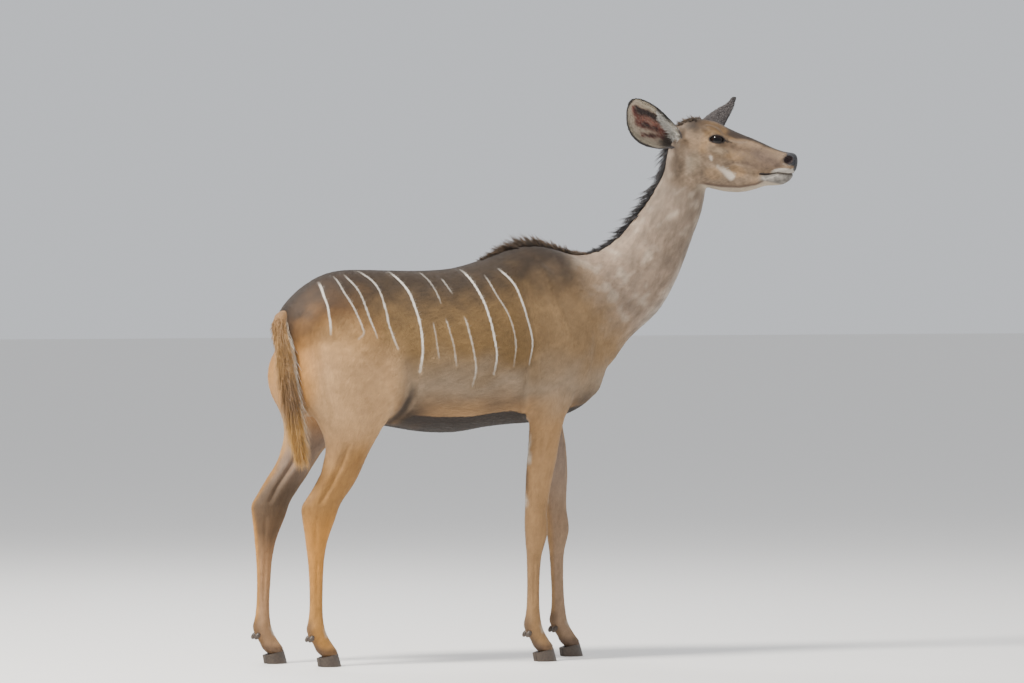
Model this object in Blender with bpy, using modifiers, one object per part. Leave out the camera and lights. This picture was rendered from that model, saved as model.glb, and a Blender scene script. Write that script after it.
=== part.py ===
"""Greater kudu cow, standing still, life size.

Metres. +X runs from tail to head along the trunk, +Y is the animal's left and +Z is up.
The hooves stand on z = 0, and the last step centres the whole model over the origin.
The flesh is one mesh, built of cross-sections and parted by thin cuts, so neighbours meet face to face.
"""

import math
import random

import bmesh
import bpy
import numpy as np
from mathutils import Matrix, Vector
from mathutils.bvhtree import BVHTree

GAP = 0.0003
VOXEL = 0.006
FLESH_TRIANGLES = 6200
RING_POINTS = 24
STEPS_BETWEEN_ROWS = 3
SEED = 7

# Trunk sections from rump to breast: x, top, bottom, half width, narrowing towards the top.
TRUNK = [
    (-0.512, 1.030, 0.940, 0.036, 0.00),
    (-0.490, 1.070, 0.860, 0.085, 0.05),
    (-0.440, 1.118, 0.790, 0.122, 0.10),
    (-0.380, 1.154, 0.752, 0.148, 0.14),
    (-0.320, 1.170, 0.728, 0.160, 0.16),
    (-0.250, 1.172, 0.715, 0.166, 0.16),
    (-0.160, 1.170, 0.700, 0.180, 0.14),
    (-0.060, 1.169, 0.684, 0.197, 0.12),
    (0.040, 1.176, 0.682, 0.203, 0.12),
    (0.130, 1.200, 0.696, 0.196, 0.18),
    (0.210, 1.229, 0.704, 0.178, 0.26),
    (0.280, 1.244, 0.708, 0.160, 0.34),
    (0.350, 1.237, 0.718, 0.148, 0.34),
    (0.420, 1.205, 0.740, 0.134, 0.26),
    (0.475, 1.130, 0.776, 0.110, 0.15),
    (0.512, 1.050, 0.830, 0.080, 0.05),
    (0.532, 0.980, 0.885, 0.040, 0.00),
]

# Neck sections from withers to skull: nape x and z, throat x and z, y, half width and turn to the side
# in degrees.
NECK = [
    (0.250, 1.190, 0.400, 0.800, 0.000, 0.120, 0),
    (0.335, 1.236, 0.530, 0.867, 0.000, 0.118, 0),
    (0.435, 1.214, 0.602, 0.955, -0.003, 0.096, -4),
    (0.510, 1.228, 0.694, 1.038, -0.012, 0.080, -9),
    (0.566, 1.265, 0.744, 1.124, -0.025, 0.069, -14),
    (0.618, 1.328, 0.772, 1.200, -0.042, 0.062, -19),
    (0.660, 1.390, 0.793, 1.271, -0.058, 0.058, -23),
    (0.697, 1.461, 0.813, 1.334, -0.072, 0.056, -27),
    (0.705, 1.527, 0.822, 1.398, -0.083, 0.055, -30),
    (0.728, 1.560, 0.820, 1.450, -0.090, 0.046, -32),
]

# The head has its own frame: forward along the face, left, and up, from the middle of the braincase.
HEAD_PLACE = (0.768, -0.090, 1.527)
HEAD_TURN = math.radians(-32)
HEAD_DIP = math.radians(12)
# Skull, cheeks and nose: forward, top, bottom, half width, narrowing towards the top.
SKULL = [
    (-0.060, 0.048, -0.020, 0.026, 0.00),
    (-0.040, 0.074, -0.036, 0.044, 0.05),
    (-0.005, 0.094, -0.044, 0.055, 0.10),
    (0.030, 0.101, -0.046, 0.059, 0.10),
    (0.070, 0.099, -0.046, 0.058, 0.05),
    (0.105, 0.092, -0.048, 0.052, 0.10),
    (0.145, 0.083, -0.046, 0.043, 0.22),
    (0.187, 0.0755, -0.042, 0.0375, 0.28),
    (0.222, 0.068, -0.034, 0.0350, 0.25),
    (0.255, 0.060, -0.024, 0.0335, 0.18),
    (0.285, 0.056, -0.013, 0.0315, 0.08),
    (0.308, 0.0565, -0.007, 0.0290, 0.00),
    (0.323, 0.0520, -0.002, 0.0235, 0.00),
    (0.331, 0.038, 0.004, 0.0140, 0.00),
]
# Lower jaw and chin, in the same columns.
JAW = [
    (-0.012, 0.020, -0.062, 0.030, 0.00),
    (0.020, 0.020, -0.086, 0.046, 0.00),
    (0.060, 0.010, -0.093, 0.049, -0.05),
    (0.100, 0.000, -0.096, 0.044, -0.10),
    (0.140, -0.010, -0.096, 0.035, -0.12),
    (0.187, -0.015, -0.086, 0.0285, -0.10),
    (0.222, -0.015, -0.069, 0.0265, 0.00),
    (0.250, -0.012, -0.056, 0.0265, 0.00),
    (0.280, -0.010, -0.049, 0.0265, 0.00),
    (0.302, -0.010, -0.040, 0.0240, 0.00),
    (0.317, -0.010, -0.026, 0.0150, 0.00),
]

# Leg slices at one height each: z, front x, rear x, y off the midline, half width.
HIND_LEG = [
    (1.020, -0.270, -0.440, 0.070, 0.045),
    (0.950, -0.225, -0.478, 0.092, 0.062),
    (0.870, -0.196, -0.494, 0.106, 0.071),
    (0.787, -0.190, -0.478, 0.113, 0.067),
    (0.733, -0.210, -0.442, 0.114, 0.061),
    (0.684, -0.237, -0.415, 0.112, 0.055),
    (0.637, -0.265, -0.404, 0.109, 0.049),
    (0.597, -0.284, -0.406, 0.106, 0.043),
    (0.555, -0.303, -0.426, 0.103, 0.038),
    (0.525, -0.321, -0.442, 0.100, 0.0345),
    (0.495, -0.343, -0.462, 0.098, 0.0325),
    (0.470, -0.357, -0.476, 0.097, 0.0315),
    (0.434, -0.370, -0.473, 0.096, 0.0320),
    (0.394, -0.386, -0.466, 0.096, 0.0300),
    (0.362, -0.396, -0.462, 0.096, 0.0265),
    (0.330, -0.402, -0.458, 0.096, 0.0230),
    (0.300, -0.4055, -0.4545, 0.096, 0.0205),
    (0.240, -0.4080, -0.4510, 0.096, 0.0190),
    (0.180, -0.4095, -0.4510, 0.097, 0.0190),
    (0.140, -0.4075, -0.4550, 0.098, 0.0210),
    (0.112, -0.4030, -0.4610, 0.099, 0.0255),
    (0.088, -0.3930, -0.4540, 0.100, 0.0250),
    (0.064, -0.3770, -0.4390, 0.100, 0.0240),
    (0.046, -0.3650, -0.4320, 0.100, 0.0280),
    (0.024, -0.3560, -0.4260, 0.100, 0.0285),
]
FORE_LEG = [
    (0.960, 0.400, 0.290, 0.070, 0.035),
    (0.900, 0.408, 0.262, 0.090, 0.050),
    (0.830, 0.400, 0.248, 0.102, 0.052),
    (0.765, 0.378, 0.240, 0.107, 0.048),
    (0.725, 0.358, 0.243, 0.107, 0.044),
    (0.665, 0.343, 0.2425, 0.106, 0.041),
    (0.610, 0.333, 0.2390, 0.104, 0.037),
    (0.560, 0.322, 0.2360, 0.102, 0.0335),
    (0.500, 0.310, 0.2345, 0.100, 0.0310),
    (0.450, 0.303, 0.2340, 0.099, 0.0320),
    (0.415, 0.304, 0.2335, 0.099, 0.0350),
    (0.385, 0.304, 0.2345, 0.099, 0.0350),
    (0.355, 0.297, 0.2360, 0.099, 0.0310),
    (0.325, 0.288, 0.2385, 0.099, 0.0255),
    (0.290, 0.283, 0.2395, 0.099, 0.0215),
    (0.240, 0.280, 0.2400, 0.099, 0.0195),
    (0.180, 0.2795, 0.2390, 0.099, 0.0195),
    (0.140, 0.282, 0.2350, 0.099, 0.0215),
    (0.112, 0.286, 0.2290, 0.100, 0.0255),
    (0.088, 0.295, 0.2360, 0.100, 0.0250),
    (0.064, 0.310, 0.2510, 0.100, 0.0240),
    (0.046, 0.322, 0.2580, 0.100, 0.0280),
    (0.024, 0.331, 0.2650, 0.100, 0.0285),
]
LEG_SLICES = {"hindleg": HIND_LEG, "foreleg": FORE_LEG}
# How far each leg is swung along x from those slices, by height.
SWING = {
    "hindleg_right": [(0.05, 0.0), (0.95, 0.0)],
    "hindleg_left": [
        (0.05, -0.097),
        (0.20, -0.096),
        (0.30, -0.093),
        (0.45, -0.087),
        (0.53, -0.088),
        (0.58, -0.078),
        (0.63, -0.064),
        (0.66, -0.050),
        (0.72, -0.024),
        (0.80, 0.0),
    ],
    "foreleg_right": [(0.05, 0.0), (0.95, 0.0)],
    "foreleg_left": [
        (0.05, 0.168),
        (0.40, 0.150),
        (0.55, 0.133),
        (0.65, 0.108),
        (0.76, 0.065),
        (0.85, 0.020),
        (0.90, 0.0),
    ],
}
LEG_SIDES = {"right": -1, "left": 1}

# Muscles and bony points under the skin, on both sides: centre, radii, tilt about the y axis in degrees.
MUSCLES = {
    "haunch": ((-0.360, 0.086, 0.965), (0.135, 0.062, 0.125), 18),
    "hip bone": ((-0.240, 0.086, 1.092), (0.060, 0.027, 0.030), 10),
    "thigh": ((-0.360, 0.108, 0.850), (0.128, 0.064, 0.135), -12),
    "buttock": ((-0.444, 0.074, 0.880), (0.056, 0.056, 0.150), 4),
    "stifle": ((-0.255, 0.114, 0.770), (0.048, 0.046, 0.070), -25),
    "shoulder blade": ((0.335, 0.066, 1.035), (0.085, 0.058, 0.165), -24),
    "shoulder point": ((0.410, 0.080, 0.888), (0.062, 0.058, 0.075), 0),
    "upper arm": ((0.320, 0.100, 0.868), (0.112, 0.052, 0.085), 28),
    "breast": ((0.445, 0.034, 0.850), (0.066, 0.050, 0.072), -20),
}
# Muscles that go with the hind leg, and how much of its swing each one takes.
MUSCLE_SWING = {"thigh": 0.8, "stifle": 0.8}
# Swellings of the head, in the head's frame, on both sides.
HEAD_SWELLINGS = {
    "brow": ((0.066, 0.040, 0.068), (0.036, 0.022, 0.020), 14),
    "orbit": ((0.080, 0.036, 0.043), (0.038, 0.024, 0.027), 10),
    "cheek bone": ((0.085, 0.047, 0.020), (0.048, 0.015, 0.016), 12),
    "chewing muscle": ((0.035, 0.038, -0.040), (0.045, 0.018, 0.042), 20),
    "ear root": ((-0.036, 0.042, 0.040), (0.026, 0.022, 0.030), 0),
    "nose wing": ((0.300, 0.019, 0.034), (0.024, 0.013, 0.019), 18),
    "upper lip": ((0.292, 0.016, 0.001), (0.036, 0.0150, 0.012), -14),
    "lower lip": ((0.295, 0.0115, -0.024), (0.028, 0.0125, 0.013), -14),
}

# The cord from the calf to the point of the hock: height, rear x and radius.
HOCK_CORD = [(0.640, -0.402, 0.020), (0.570, -0.417, 0.013), (0.510, -0.451, 0.0115), (0.465, -0.475, 0.014)]
HOCK_CORD_Y = 0.101

# Smoothing of the joins: rounds on the trunk, and how much of it the thin legs and the head keep out.
SMOOTH_ROUNDS = 45
HELD_BACK = 0.86
LEG_HOLD = (0.72, 0.56)
HEAD_HOLD = (-0.05, -0.02)

EYE_PLACE = (0.082, 0.0420, 0.044)
EYE_RADIUS = 0.0210
# The lids are a cap over the eyeball with an almond cut through it: its half length, the rise of the
# upper lid, the drop of the lower one, and the way it looks out.
LID_THICKNESS = 0.0026
LID_HALF_LENGTH = 0.0195
LID_UPPER_RISE = 0.0118
LID_LOWER_DROP = 0.0088
EYE_LOOK = (0.16, 0.98, 0.10)
NOSTRIL_PLACE = (0.3060, 0.0340)
NOSTRIL_RADII = (0.0120, 0.0085, 0.0075)
MOUTH_CORNER = (0.222, -0.0265)
MOUTH_FRONT = (0.322, -0.0065)
MOUTH_GROOVE = 0.0022

EAR_WALL = 0.0035
EAR_ACROSS = 8
# The cup is this much shallower than a round one.
EAR_CUP = 0.80
# Each ear: its length, the way it points, the way its cup opens, its root in the head's frame, how far it
# bows back at half length, and rows from root to tip of share of the length, width on either side of the
# middle, half the angle that the sheet is rolled through, and shift across.
EARS = {
    "right": {
        "length": 0.205,
        "aim": (-0.790, -0.249, 0.560),
        "face": (0.076, -0.947, -0.314),
        "root": (-0.043, -0.052, 0.022),
        "bow": 0.014,
        "rows": [
            (0.00, 0.022, 0.022, 130, 0.0),
            (0.10, 0.034, 0.029, 115, 0.0),
            (0.22, 0.052, 0.034, 92, 0.0),
            (0.36, 0.068, 0.037, 72, 0.0),
            (0.50, 0.076, 0.0385, 60, 0.0),
            (0.64, 0.075, 0.037, 52, 0.0),
            (0.77, 0.065, 0.032, 46, 0.0),
            (0.88, 0.047, 0.025, 42, 0.0),
            (0.96, 0.027, 0.016, 38, 0.0),
            (1.00, 0.008, 0.004, 36, 0.0),
        ],
    },
    "left": {
        "length": 0.210,
        "aim": (0.801, 0.171, 0.574),
        "face": (0.522, 0.259, -0.812),
        "root": (-0.016, 0.050, 0.040),
        "bow": 0.004,
        "rows": [
            (0.00, 0.022, 0.022, 130, 0.0),
            (0.12, 0.032, 0.028, 120, 0.0),
            (0.25, 0.044, 0.036, 100, 0.0),
            (0.40, 0.048, 0.041, 80, -0.001),
            (0.55, 0.043, 0.038, 66, -0.002),
            (0.70, 0.031, 0.027, 58, -0.006),
            (0.80, 0.020, 0.017, 56, -0.010),
            (0.89, 0.012, 0.011, 54, -0.006),
            (0.96, 0.010, 0.009, 52, 0.001),
            (1.00, 0.006, 0.005, 50, 0.003),
        ],
    },
}

HOOF_LENGTH = 0.068
HOOF_TOE_HEIGHT = 0.044
HOOF_HEEL_HEIGHT = 0.027
HOOF_HALF_WIDTH = 0.0265
CLEFT = 0.0022
DEWCLAW_LENGTH = 0.019
DEWCLAW_RADIUS = 0.0085

# Tail: x, y, z and radius of the dock down to the tip.
TAIL = [
    (-0.480, 0.000, 1.030, 0.024),
    (-0.511, -0.022, 1.024, 0.0250),
    (-0.525, -0.052, 0.990, 0.0255),
    (-0.526, -0.080, 0.950, 0.0255),
    (-0.522, -0.098, 0.880, 0.0250),
    (-0.513, -0.108, 0.800, 0.0225),
    (-0.500, -0.110, 0.720, 0.0180),
    (-0.486, -0.104, 0.655, 0.0100),
]
TAIL_LOCKS = 64
TAIL_LOCK_LENGTH = 0.105

# Mane along the nape, crest over the withers and short ridge of the poll: start and end as shares of
# the nape-and-back line, lock length, width, and how fast the locks grow from the ends of the row.
MANES = {
    "poll": {"from": 0.966, "to": 0.995, "length": 0.018, "width": 0.016, "shape": 0.30},
    "nape": {"from": 0.735, "to": 0.960, "length": 0.042, "width": 0.019, "shape": 0.25},
    "crest": {"from": 0.450, "to": 0.735, "length": 0.046, "width": 0.021, "shape": 0.70},
}
MANE_STEP = 0.0125
MANE_LEAN = 49
MANE_SEAT = 0.006
MANE_SPREAD = 0.0045
MANE_BEND = (-0.22, -0.10)

NECK_CUT = ((0.764, -0.080, 1.447), (0.452, -0.220, 0.865))
TORSO_CUT = ((0.510, 0.000, 1.0766), (0.934, 0.0, 0.356))
LEG_TOP_CUT = 0.698
LEG_JOINT_CUT = {"hindleg": 0.388, "foreleg": 0.348}

COLOURS = {
    "coat": ((0.235, 0.145, 0.085), 0.80),
    "leg coat": ((0.330, 0.170, 0.070), 0.80),
    "ear skin": ((0.250, 0.150, 0.110), 0.80),
    "eye": ((0.010, 0.008, 0.007), 0.10),
    "horn": ((0.030, 0.026, 0.024), 0.45),
}


def make_material(name):
    colour, roughness = COLOURS[name]
    material = bpy.data.materials.new(name)
    material.use_nodes = True
    shader = material.node_tree.nodes["Principled BSDF"]
    shader.inputs["Base Color"].default_value = (*colour, 1.0)
    shader.inputs["Roughness"].default_value = roughness
    shader.inputs["Metallic"].default_value = 0.0
    return material


def make_collection(name):
    collection = bpy.data.collections.new(name)
    bpy.context.scene.collection.children.link(collection)
    return collection


def new_object(name, mesh, collection):
    made = bpy.data.objects.new(name, mesh)
    collection.objects.link(made)
    return made


def object_from_bmesh(name, bm, collection):
    bmesh.ops.recalc_face_normals(bm, faces=bm.faces)
    mesh = bpy.data.meshes.new(name)
    bm.to_mesh(mesh)
    bm.free()
    return new_object(name, mesh, collection)


def apply_modifiers(obj):
    """The object's mesh as its modifiers leave it, with no modifier left."""
    bpy.context.view_layer.update()
    graph = bpy.context.evaluated_depsgraph_get()
    mesh = bpy.data.meshes.new_from_object(obj.evaluated_get(graph))
    obj.modifiers.clear()
    old = obj.data
    obj.data = mesh
    bpy.data.meshes.remove(old)


def discard(obj):
    mesh = obj.data
    bpy.data.objects.remove(obj)
    if mesh.users == 0:
        bpy.data.meshes.remove(mesh)


def smooth_rows(rows, steps=STEPS_BETWEEN_ROWS):
    """Catmull-Rom rows through the given ones, with that many steps from each to the next."""
    table = np.array(rows, float)
    padded = np.vstack([2 * table[0] - table[1], table, 2 * table[-1] - table[-2]])
    out = []
    for i in range(1, len(padded) - 2):
        a, b, c, d = padded[i - 1 : i + 3]
        for step in range(steps):
            t = step / steps
            square = (2 * a - 5 * b + 4 * c - d) * t**2
            cube = (3 * b - a - 3 * c + d) * t**3
            out.append(0.5 * (2 * b + (c - a) * t + square + cube))
    out.append(table[-1])
    return out


def ring(centre, side, up, half_width, half_height, narrowing=0.0, power=2.1, count=RING_POINTS):
    """One egg-shaped cross-section, narrower towards up where narrowing is above 0."""
    points = []
    for i in range(count):
        angle = 2 * math.pi * (i + 0.5) / count
        across = math.copysign(abs(math.cos(angle)) ** (2 / power), math.cos(angle))
        along = math.copysign(abs(math.sin(angle)) ** (2 / power), math.sin(angle))
        points.append(
            centre + side * (half_width * across * (1 - narrowing * along)) + up * (half_height * along)
        )
    return points


def add_loft(bm, rings):
    """A closed skin over a row of rings with equal counts."""
    rows = [[bm.verts.new(point) for point in points] for points in rings]
    count = len(rows[0])
    for lower, upper in zip(rows, rows[1:]):
        for i in range(count):
            j = (i + 1) % count
            bm.faces.new((lower[i], lower[j], upper[j], upper[i]))
    bm.faces.new(rows[0])
    bm.faces.new(rows[-1])


def add_ellipsoid(bm, centre, radii, tilt_degrees, frame=None):
    place = Matrix.Translation(centre) @ Matrix.Rotation(math.radians(tilt_degrees), 4, "Y")
    if frame is not None:
        place = frame @ place
    bmesh.ops.create_uvsphere(
        bm, u_segments=20, v_segments=12, radius=1.0, matrix=place @ Matrix.Diagonal((*radii, 1.0))
    )


def head_frame():
    turn = Matrix.Rotation(HEAD_TURN, 4, "Z") @ Matrix.Rotation(HEAD_DIP, 4, "Y")
    return Matrix.Translation(HEAD_PLACE) @ turn


def swing_at(leg, z):
    heights, shifts = zip(*SWING[leg])
    return float(np.interp(z, heights, shifts))


def leg_slice(kind, side_name, z):
    """Middle x, y and half depth of a leg at a height."""
    table = np.array(LEG_SLICES[kind])[::-1]
    front, rear, y = (float(np.interp(z, table[:, 0], table[:, k])) for k in (1, 2, 3))
    x = (front + rear) / 2 + swing_at(f"{kind}_{side_name}", z)
    return x, LEG_SIDES[side_name] * y, (front - rear) / 2


def trunk_rings():
    for x, top, bottom, half_width, narrowing in smooth_rows(TRUNK):
        centre = Vector((x, 0.0, (top + bottom) / 2))
        yield ring(centre, Vector((0, 1, 0)), Vector((0, 0, 1)), half_width, (top - bottom) / 2, narrowing)


def neck_frames():
    """Centre, side, up and half width of each neck section; up runs from throat to nape."""
    for nape_x, nape_z, throat_x, throat_z, y, half_width, turn in smooth_rows(NECK):
        angle = math.radians(turn)
        forward = Vector((math.cos(angle), math.sin(angle), 0.0))
        side = Vector((-math.sin(angle), math.cos(angle), 0.0))
        centre = Vector(((nape_x + throat_x) / 2, y, (nape_z + throat_z) / 2))
        up = forward * ((nape_x - throat_x) / 2) + Vector((0, 0, (nape_z - throat_z) / 2))
        yield centre, side, up, half_width


def neck_rings():
    for centre, side, up, half_width in neck_frames():
        yield ring(centre, side, up, half_width, 1.0, 0.10)


def head_rings(rows):
    frame = head_frame()
    side = (frame.to_3x3() @ Vector((0, 1, 0))).normalized()
    up = (frame.to_3x3() @ Vector((0, 0, 1))).normalized()
    for forward, top, bottom, half_width, narrowing in smooth_rows(rows):
        centre = frame @ Vector((forward, 0.0, (top + bottom) / 2))
        yield ring(centre, side, up, half_width, (top - bottom) / 2, narrowing)


def leg_rings(kind, side_name):
    side = LEG_SIDES[side_name]
    for z, front, rear, y, half_width in smooth_rows(LEG_SLICES[kind]):
        shift = swing_at(f"{kind}_{side_name}", z)
        centre = Vector(((front + rear) / 2 + shift, side * y, z))
        yield ring(centre, Vector((0, 1, 0)), Vector((1, 0, 0)), half_width, (front - rear) / 2, power=2.0)


def add_muscles(bm):
    for name, (centre, radii, tilt) in MUSCLES.items():
        for side_name, side in LEG_SIDES.items():
            swing = swing_at(f"hindleg_{side_name}", centre[2] - radii[2])
            x = centre[0] + MUSCLE_SWING.get(name, 0.0) * swing
            add_ellipsoid(bm, (x, side * centre[1], centre[2]), radii, tilt)


def add_head_swellings(bm):
    for centre, radii, tilt in HEAD_SWELLINGS.values():
        for side in (-1, 1):
            add_ellipsoid(bm, (centre[0], side * centre[1], centre[2]), radii, tilt, head_frame())


def add_hind_tendons(bm):
    """The cord from the calf down to the point of the hock, with a hollow in front of it."""
    for side_name, side in LEG_SIDES.items():
        leg = f"hindleg_{side_name}"
        rings = []
        for z, rear, radius in HOCK_CORD:
            centre = Vector((rear + radius + swing_at(leg, z), side * HOCK_CORD_Y, z))
            rings.append(ring(centre, Vector((0, 1, 0)), Vector((1, 0, 0)), radius, radius, count=12))
        add_loft(bm, rings)


def softness(point, head_inverse):
    """How strongly a point is smoothed: the trunk fully, the thin legs and the head much less."""
    forward = (head_inverse @ point).x
    above_throat = point.z > NECK_CUT[0][2] - 0.05
    head_share = float(np.interp(forward, HEAD_HOLD, (0.0, 1.0))) if above_throat else 0.0
    leg_share = float(np.interp(-point.z, [-z for z in LEG_HOLD], (0.0, 1.0)))
    return 1.0 - HELD_BACK * max(head_share, leg_share)


def make_flesh(collection):
    """Trunk, neck, head and legs as one closed mesh with its joins smoothed."""
    bm = bmesh.new()
    add_loft(bm, list(trunk_rings()))
    add_loft(bm, list(neck_rings()))
    add_loft(bm, list(head_rings(SKULL)))
    add_loft(bm, list(head_rings(JAW)))
    for kind in LEG_SLICES:
        for side_name in LEG_SIDES:
            add_loft(bm, list(leg_rings(kind, side_name)))
    add_muscles(bm)
    add_head_swellings(bm)
    add_hind_tendons(bm)
    flesh = object_from_bmesh("flesh", bm, collection)
    remesh = flesh.modifiers.new("blend", "REMESH")
    remesh.mode = "VOXEL"
    remesh.voxel_size = VOXEL
    apply_modifiers(flesh)
    soft = flesh.vertex_groups.new(name="soft")
    head_inverse = head_frame().inverted()
    for vertex in flesh.data.vertices:
        soft.add([vertex.index], softness(vertex.co, head_inverse), "REPLACE")
    smooth = flesh.modifiers.new("smooth", "SMOOTH")
    smooth.factor = 0.5
    smooth.iterations = SMOOTH_ROUNDS
    smooth.vertex_group = "soft"
    flesh.modifiers.new("triangles", "TRIANGULATE")
    apply_modifiers(flesh)
    decimate = flesh.modifiers.new("facets", "DECIMATE")
    decimate.ratio = FLESH_TRIANGLES / len(flesh.data.polygons)
    apply_modifiers(flesh)
    return flesh


def boolean(obj, other, operation, solver="EXACT"):
    cut = obj.modifiers.new("boolean", "BOOLEAN")
    cut.operation = operation
    cut.solver = solver
    cut.object = other
    apply_modifiers(obj)


def slab(place, normal, size, collection, thickness=GAP):
    """A thin square plate across a joint."""
    bm = bmesh.new()
    up = Vector(normal).normalized()
    side = Vector((0, 1, 0))
    side = (side - up * side.dot(up)).normalized()
    turn = Matrix((side.cross(up), side, up)).transposed().to_4x4()
    stretch = Matrix.Diagonal((size[0], size[1], thickness, 1.0))
    bmesh.ops.create_cube(bm, size=1.0, matrix=Matrix.Translation(place) @ turn @ stretch)
    made = object_from_bmesh("cut", bm, collection)
    made.hide_render = True
    made.display_type = "WIRE"
    return made


def back_line():
    """Points from the rump over the withers and up the nape to the poll, with the way out of the skin."""
    points = []
    for x, top, _, _, _ in smooth_rows(TRUNK[2:13]):
        points.append((Vector((x, 0.0, top)), Vector((0, 0, 1))))
    for centre, _, up, _ in list(neck_frames())[7:-3]:
        points.append((centre + up, up.normalized()))
    frame = head_frame()
    head_up = (frame.to_3x3() @ Vector((0, 0, 1))).normalized()
    for forward, top, _, _, _ in smooth_rows(SKULL[1:4]):
        points.append((frame @ Vector((forward, 0.0, top)), head_up))
    return points


def along_line(points, share):
    """Place, direction and outward way at a share of a line's length."""
    places = [p for p, _ in points]
    lengths = np.cumsum([0.0] + [(b - a).length for a, b in zip(places, places[1:])])
    target = share * lengths[-1]
    i = min(int(np.searchsorted(lengths, target, side="right")) - 1, len(places) - 2)
    t = (target - lengths[i]) / max(lengths[i + 1] - lengths[i], 1e-9)
    place = places[i].lerp(places[i + 1], t)
    out = points[i][1].lerp(points[i + 1][1], t).normalized()
    return place, (places[i + 1] - places[i]).normalized(), out


def add_lock(bm, root, way, flat, length, width, bend, thickness=0.0042):
    """One flat tapered lock: it leaves the root along way, is broad along flat, and bends towards bend."""
    way = way.normalized()
    thin = way.cross(flat).normalized()
    flat = thin.cross(way).normalized()
    rows = []
    for share, broad in ((-0.35, 0.85), (0.25, 1.0), (0.66, 0.62)):
        centre = root + way * (length * share) + bend * (length * max(share, 0.0) ** 2)
        half, deep = width * broad / 2, thickness * broad / 2
        rows.append(
            [
                bm.verts.new(centre + flat * half),
                bm.verts.new(centre + thin * deep),
                bm.verts.new(centre - flat * half),
                bm.verts.new(centre - thin * deep),
            ]
        )
    tip = bm.verts.new(root + way * length + bend * length)
    for lower, upper in zip(rows, rows[1:]):
        for i in range(4):
            j = (i + 1) % 4
            bm.faces.new((lower[i], lower[j], upper[j], upper[i]))
    for i in range(4):
        bm.faces.new((rows[-1][i], rows[-1][(i + 1) % 4], tip))
    bm.faces.new(rows[0])


def union_of_locks(base, locks):
    """Joins the locks to the base one collection at a time and removes them."""
    join = base.modifiers.new("locks", "BOOLEAN")
    join.operation = "UNION"
    join.solver = "MANIFOLD"
    join.operand_type = "COLLECTION"
    join.collection = locks
    apply_modifiers(base)
    for obj in list(locks.objects):
        discard(obj)
    bpy.data.collections.remove(locks)


def add_manes(flesh):
    """Locks along the nape, the withers and the poll, fused to the flesh."""
    draw = random.Random(SEED)
    line = back_line()
    length_of_line = sum((b[0] - a[0]).length for a, b in zip(line, line[1:]))
    locks = make_collection("mane locks")
    for mane in MANES.values():
        count = int((mane["to"] - mane["from"]) * length_of_line / MANE_STEP)
        for i in range(count):
            share = mane["from"] + (mane["to"] - mane["from"]) * (i + 0.5) / count
            place, forward, out = along_line(line, share)
            fade = math.sin(math.pi * (i + 0.7) / (count + 0.4)) ** mane["shape"]
            side = out.cross(forward).normalized()
            lean = math.radians(MANE_LEAN + draw.uniform(-9, 9))
            way = out * math.cos(lean) - forward * math.sin(lean) + side * draw.uniform(-0.22, 0.22)
            offset = (MANE_SPREAD if i % 2 else -MANE_SPREAD) * draw.uniform(0.8, 1.2)
            bm = bmesh.new()
            add_lock(
                bm,
                place + side * offset - out * MANE_SEAT,
                way,
                forward,
                mane["length"] * fade * draw.uniform(0.82, 1.15) + MANE_SEAT,
                mane["width"] * draw.uniform(0.85, 1.1),
                forward * MANE_BEND[0] + out * MANE_BEND[1],
            )
            object_from_bmesh("lock", bm, locks)
    union_of_locks(flesh, locks)


def ear_surface(bm, side_name):
    """The cupped leaf of the ear as an open sheet: a rolled stalk that opens into a broad cup."""
    plan = EARS[side_name]
    aim = Vector(plan["aim"]).normalized()
    face = Vector(plan["face"])
    face = (face - aim * face.dot(aim)).normalized()
    across_way = aim.cross(face).normalized()
    root = head_frame() @ Vector(plan["root"])
    rows = []
    for share, before, behind, roll_degrees, shift in plan["rows"]:
        roll = math.radians(roll_degrees)
        centre = root + aim * (plan["length"] * share) + across_way * shift
        centre -= face * plan["bow"] * math.sin(math.pi * share)
        row = []
        for k in range(EAR_ACROSS):
            turn = 2 * k / (EAR_ACROSS - 1) - 1
            radius = (before if turn < 0 else behind) / math.sin(min(roll, math.pi / 2))
            lift = face * (radius * (1 - math.cos(roll * turn)) * EAR_CUP)
            row.append(bm.verts.new(centre + across_way * (radius * math.sin(roll * turn)) + lift))
        rows.append(row)
    for lower, upper in zip(rows, rows[1:]):
        for k in range(EAR_ACROSS - 1):
            bm.faces.new((lower[k], lower[k + 1], upper[k + 1], upper[k]))


def make_ear(side_name, collection):
    bm = bmesh.new()
    ear_surface(bm, side_name)
    ear = object_from_bmesh(f"ear_{side_name}", bm, collection)
    wall = ear.modifiers.new("wall", "SOLIDIFY")
    wall.thickness = EAR_WALL
    wall.offset = 0.0
    ear.modifiers.new("triangles", "TRIANGULATE")
    apply_modifiers(ear)
    return ear


def swollen_copy(obj, by, collection):
    """A cutter a little larger all over than the object."""
    copy = new_object("swollen", obj.data.copy(), collection)
    copy.hide_render = True
    push = copy.modifiers.new("push", "DISPLACE")
    push.strength = by
    push.mid_level = 0.0
    apply_modifiers(copy)
    return copy


def seat_on(piece, base, cutters):
    """Cuts from the piece what lies inside the base, and a hair more."""
    cutter = swollen_copy(base, GAP, cutters)
    boolean(piece, cutter, "DIFFERENCE")
    discard(cutter)
    keep_largest(piece)


def shells_of(bm):
    """The mesh's separate closed surfaces, as lists of faces."""
    unseen = set(bm.faces)
    shells = []
    while unseen:
        stack = [unseen.pop()]
        shell = []
        while stack:
            face = stack.pop()
            shell.append(face)
            for edge in face.edges:
                for other in edge.link_faces:
                    if other in unseen:
                        unseen.remove(other)
                        stack.append(other)
        shells.append(shell)
    return shells


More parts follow.
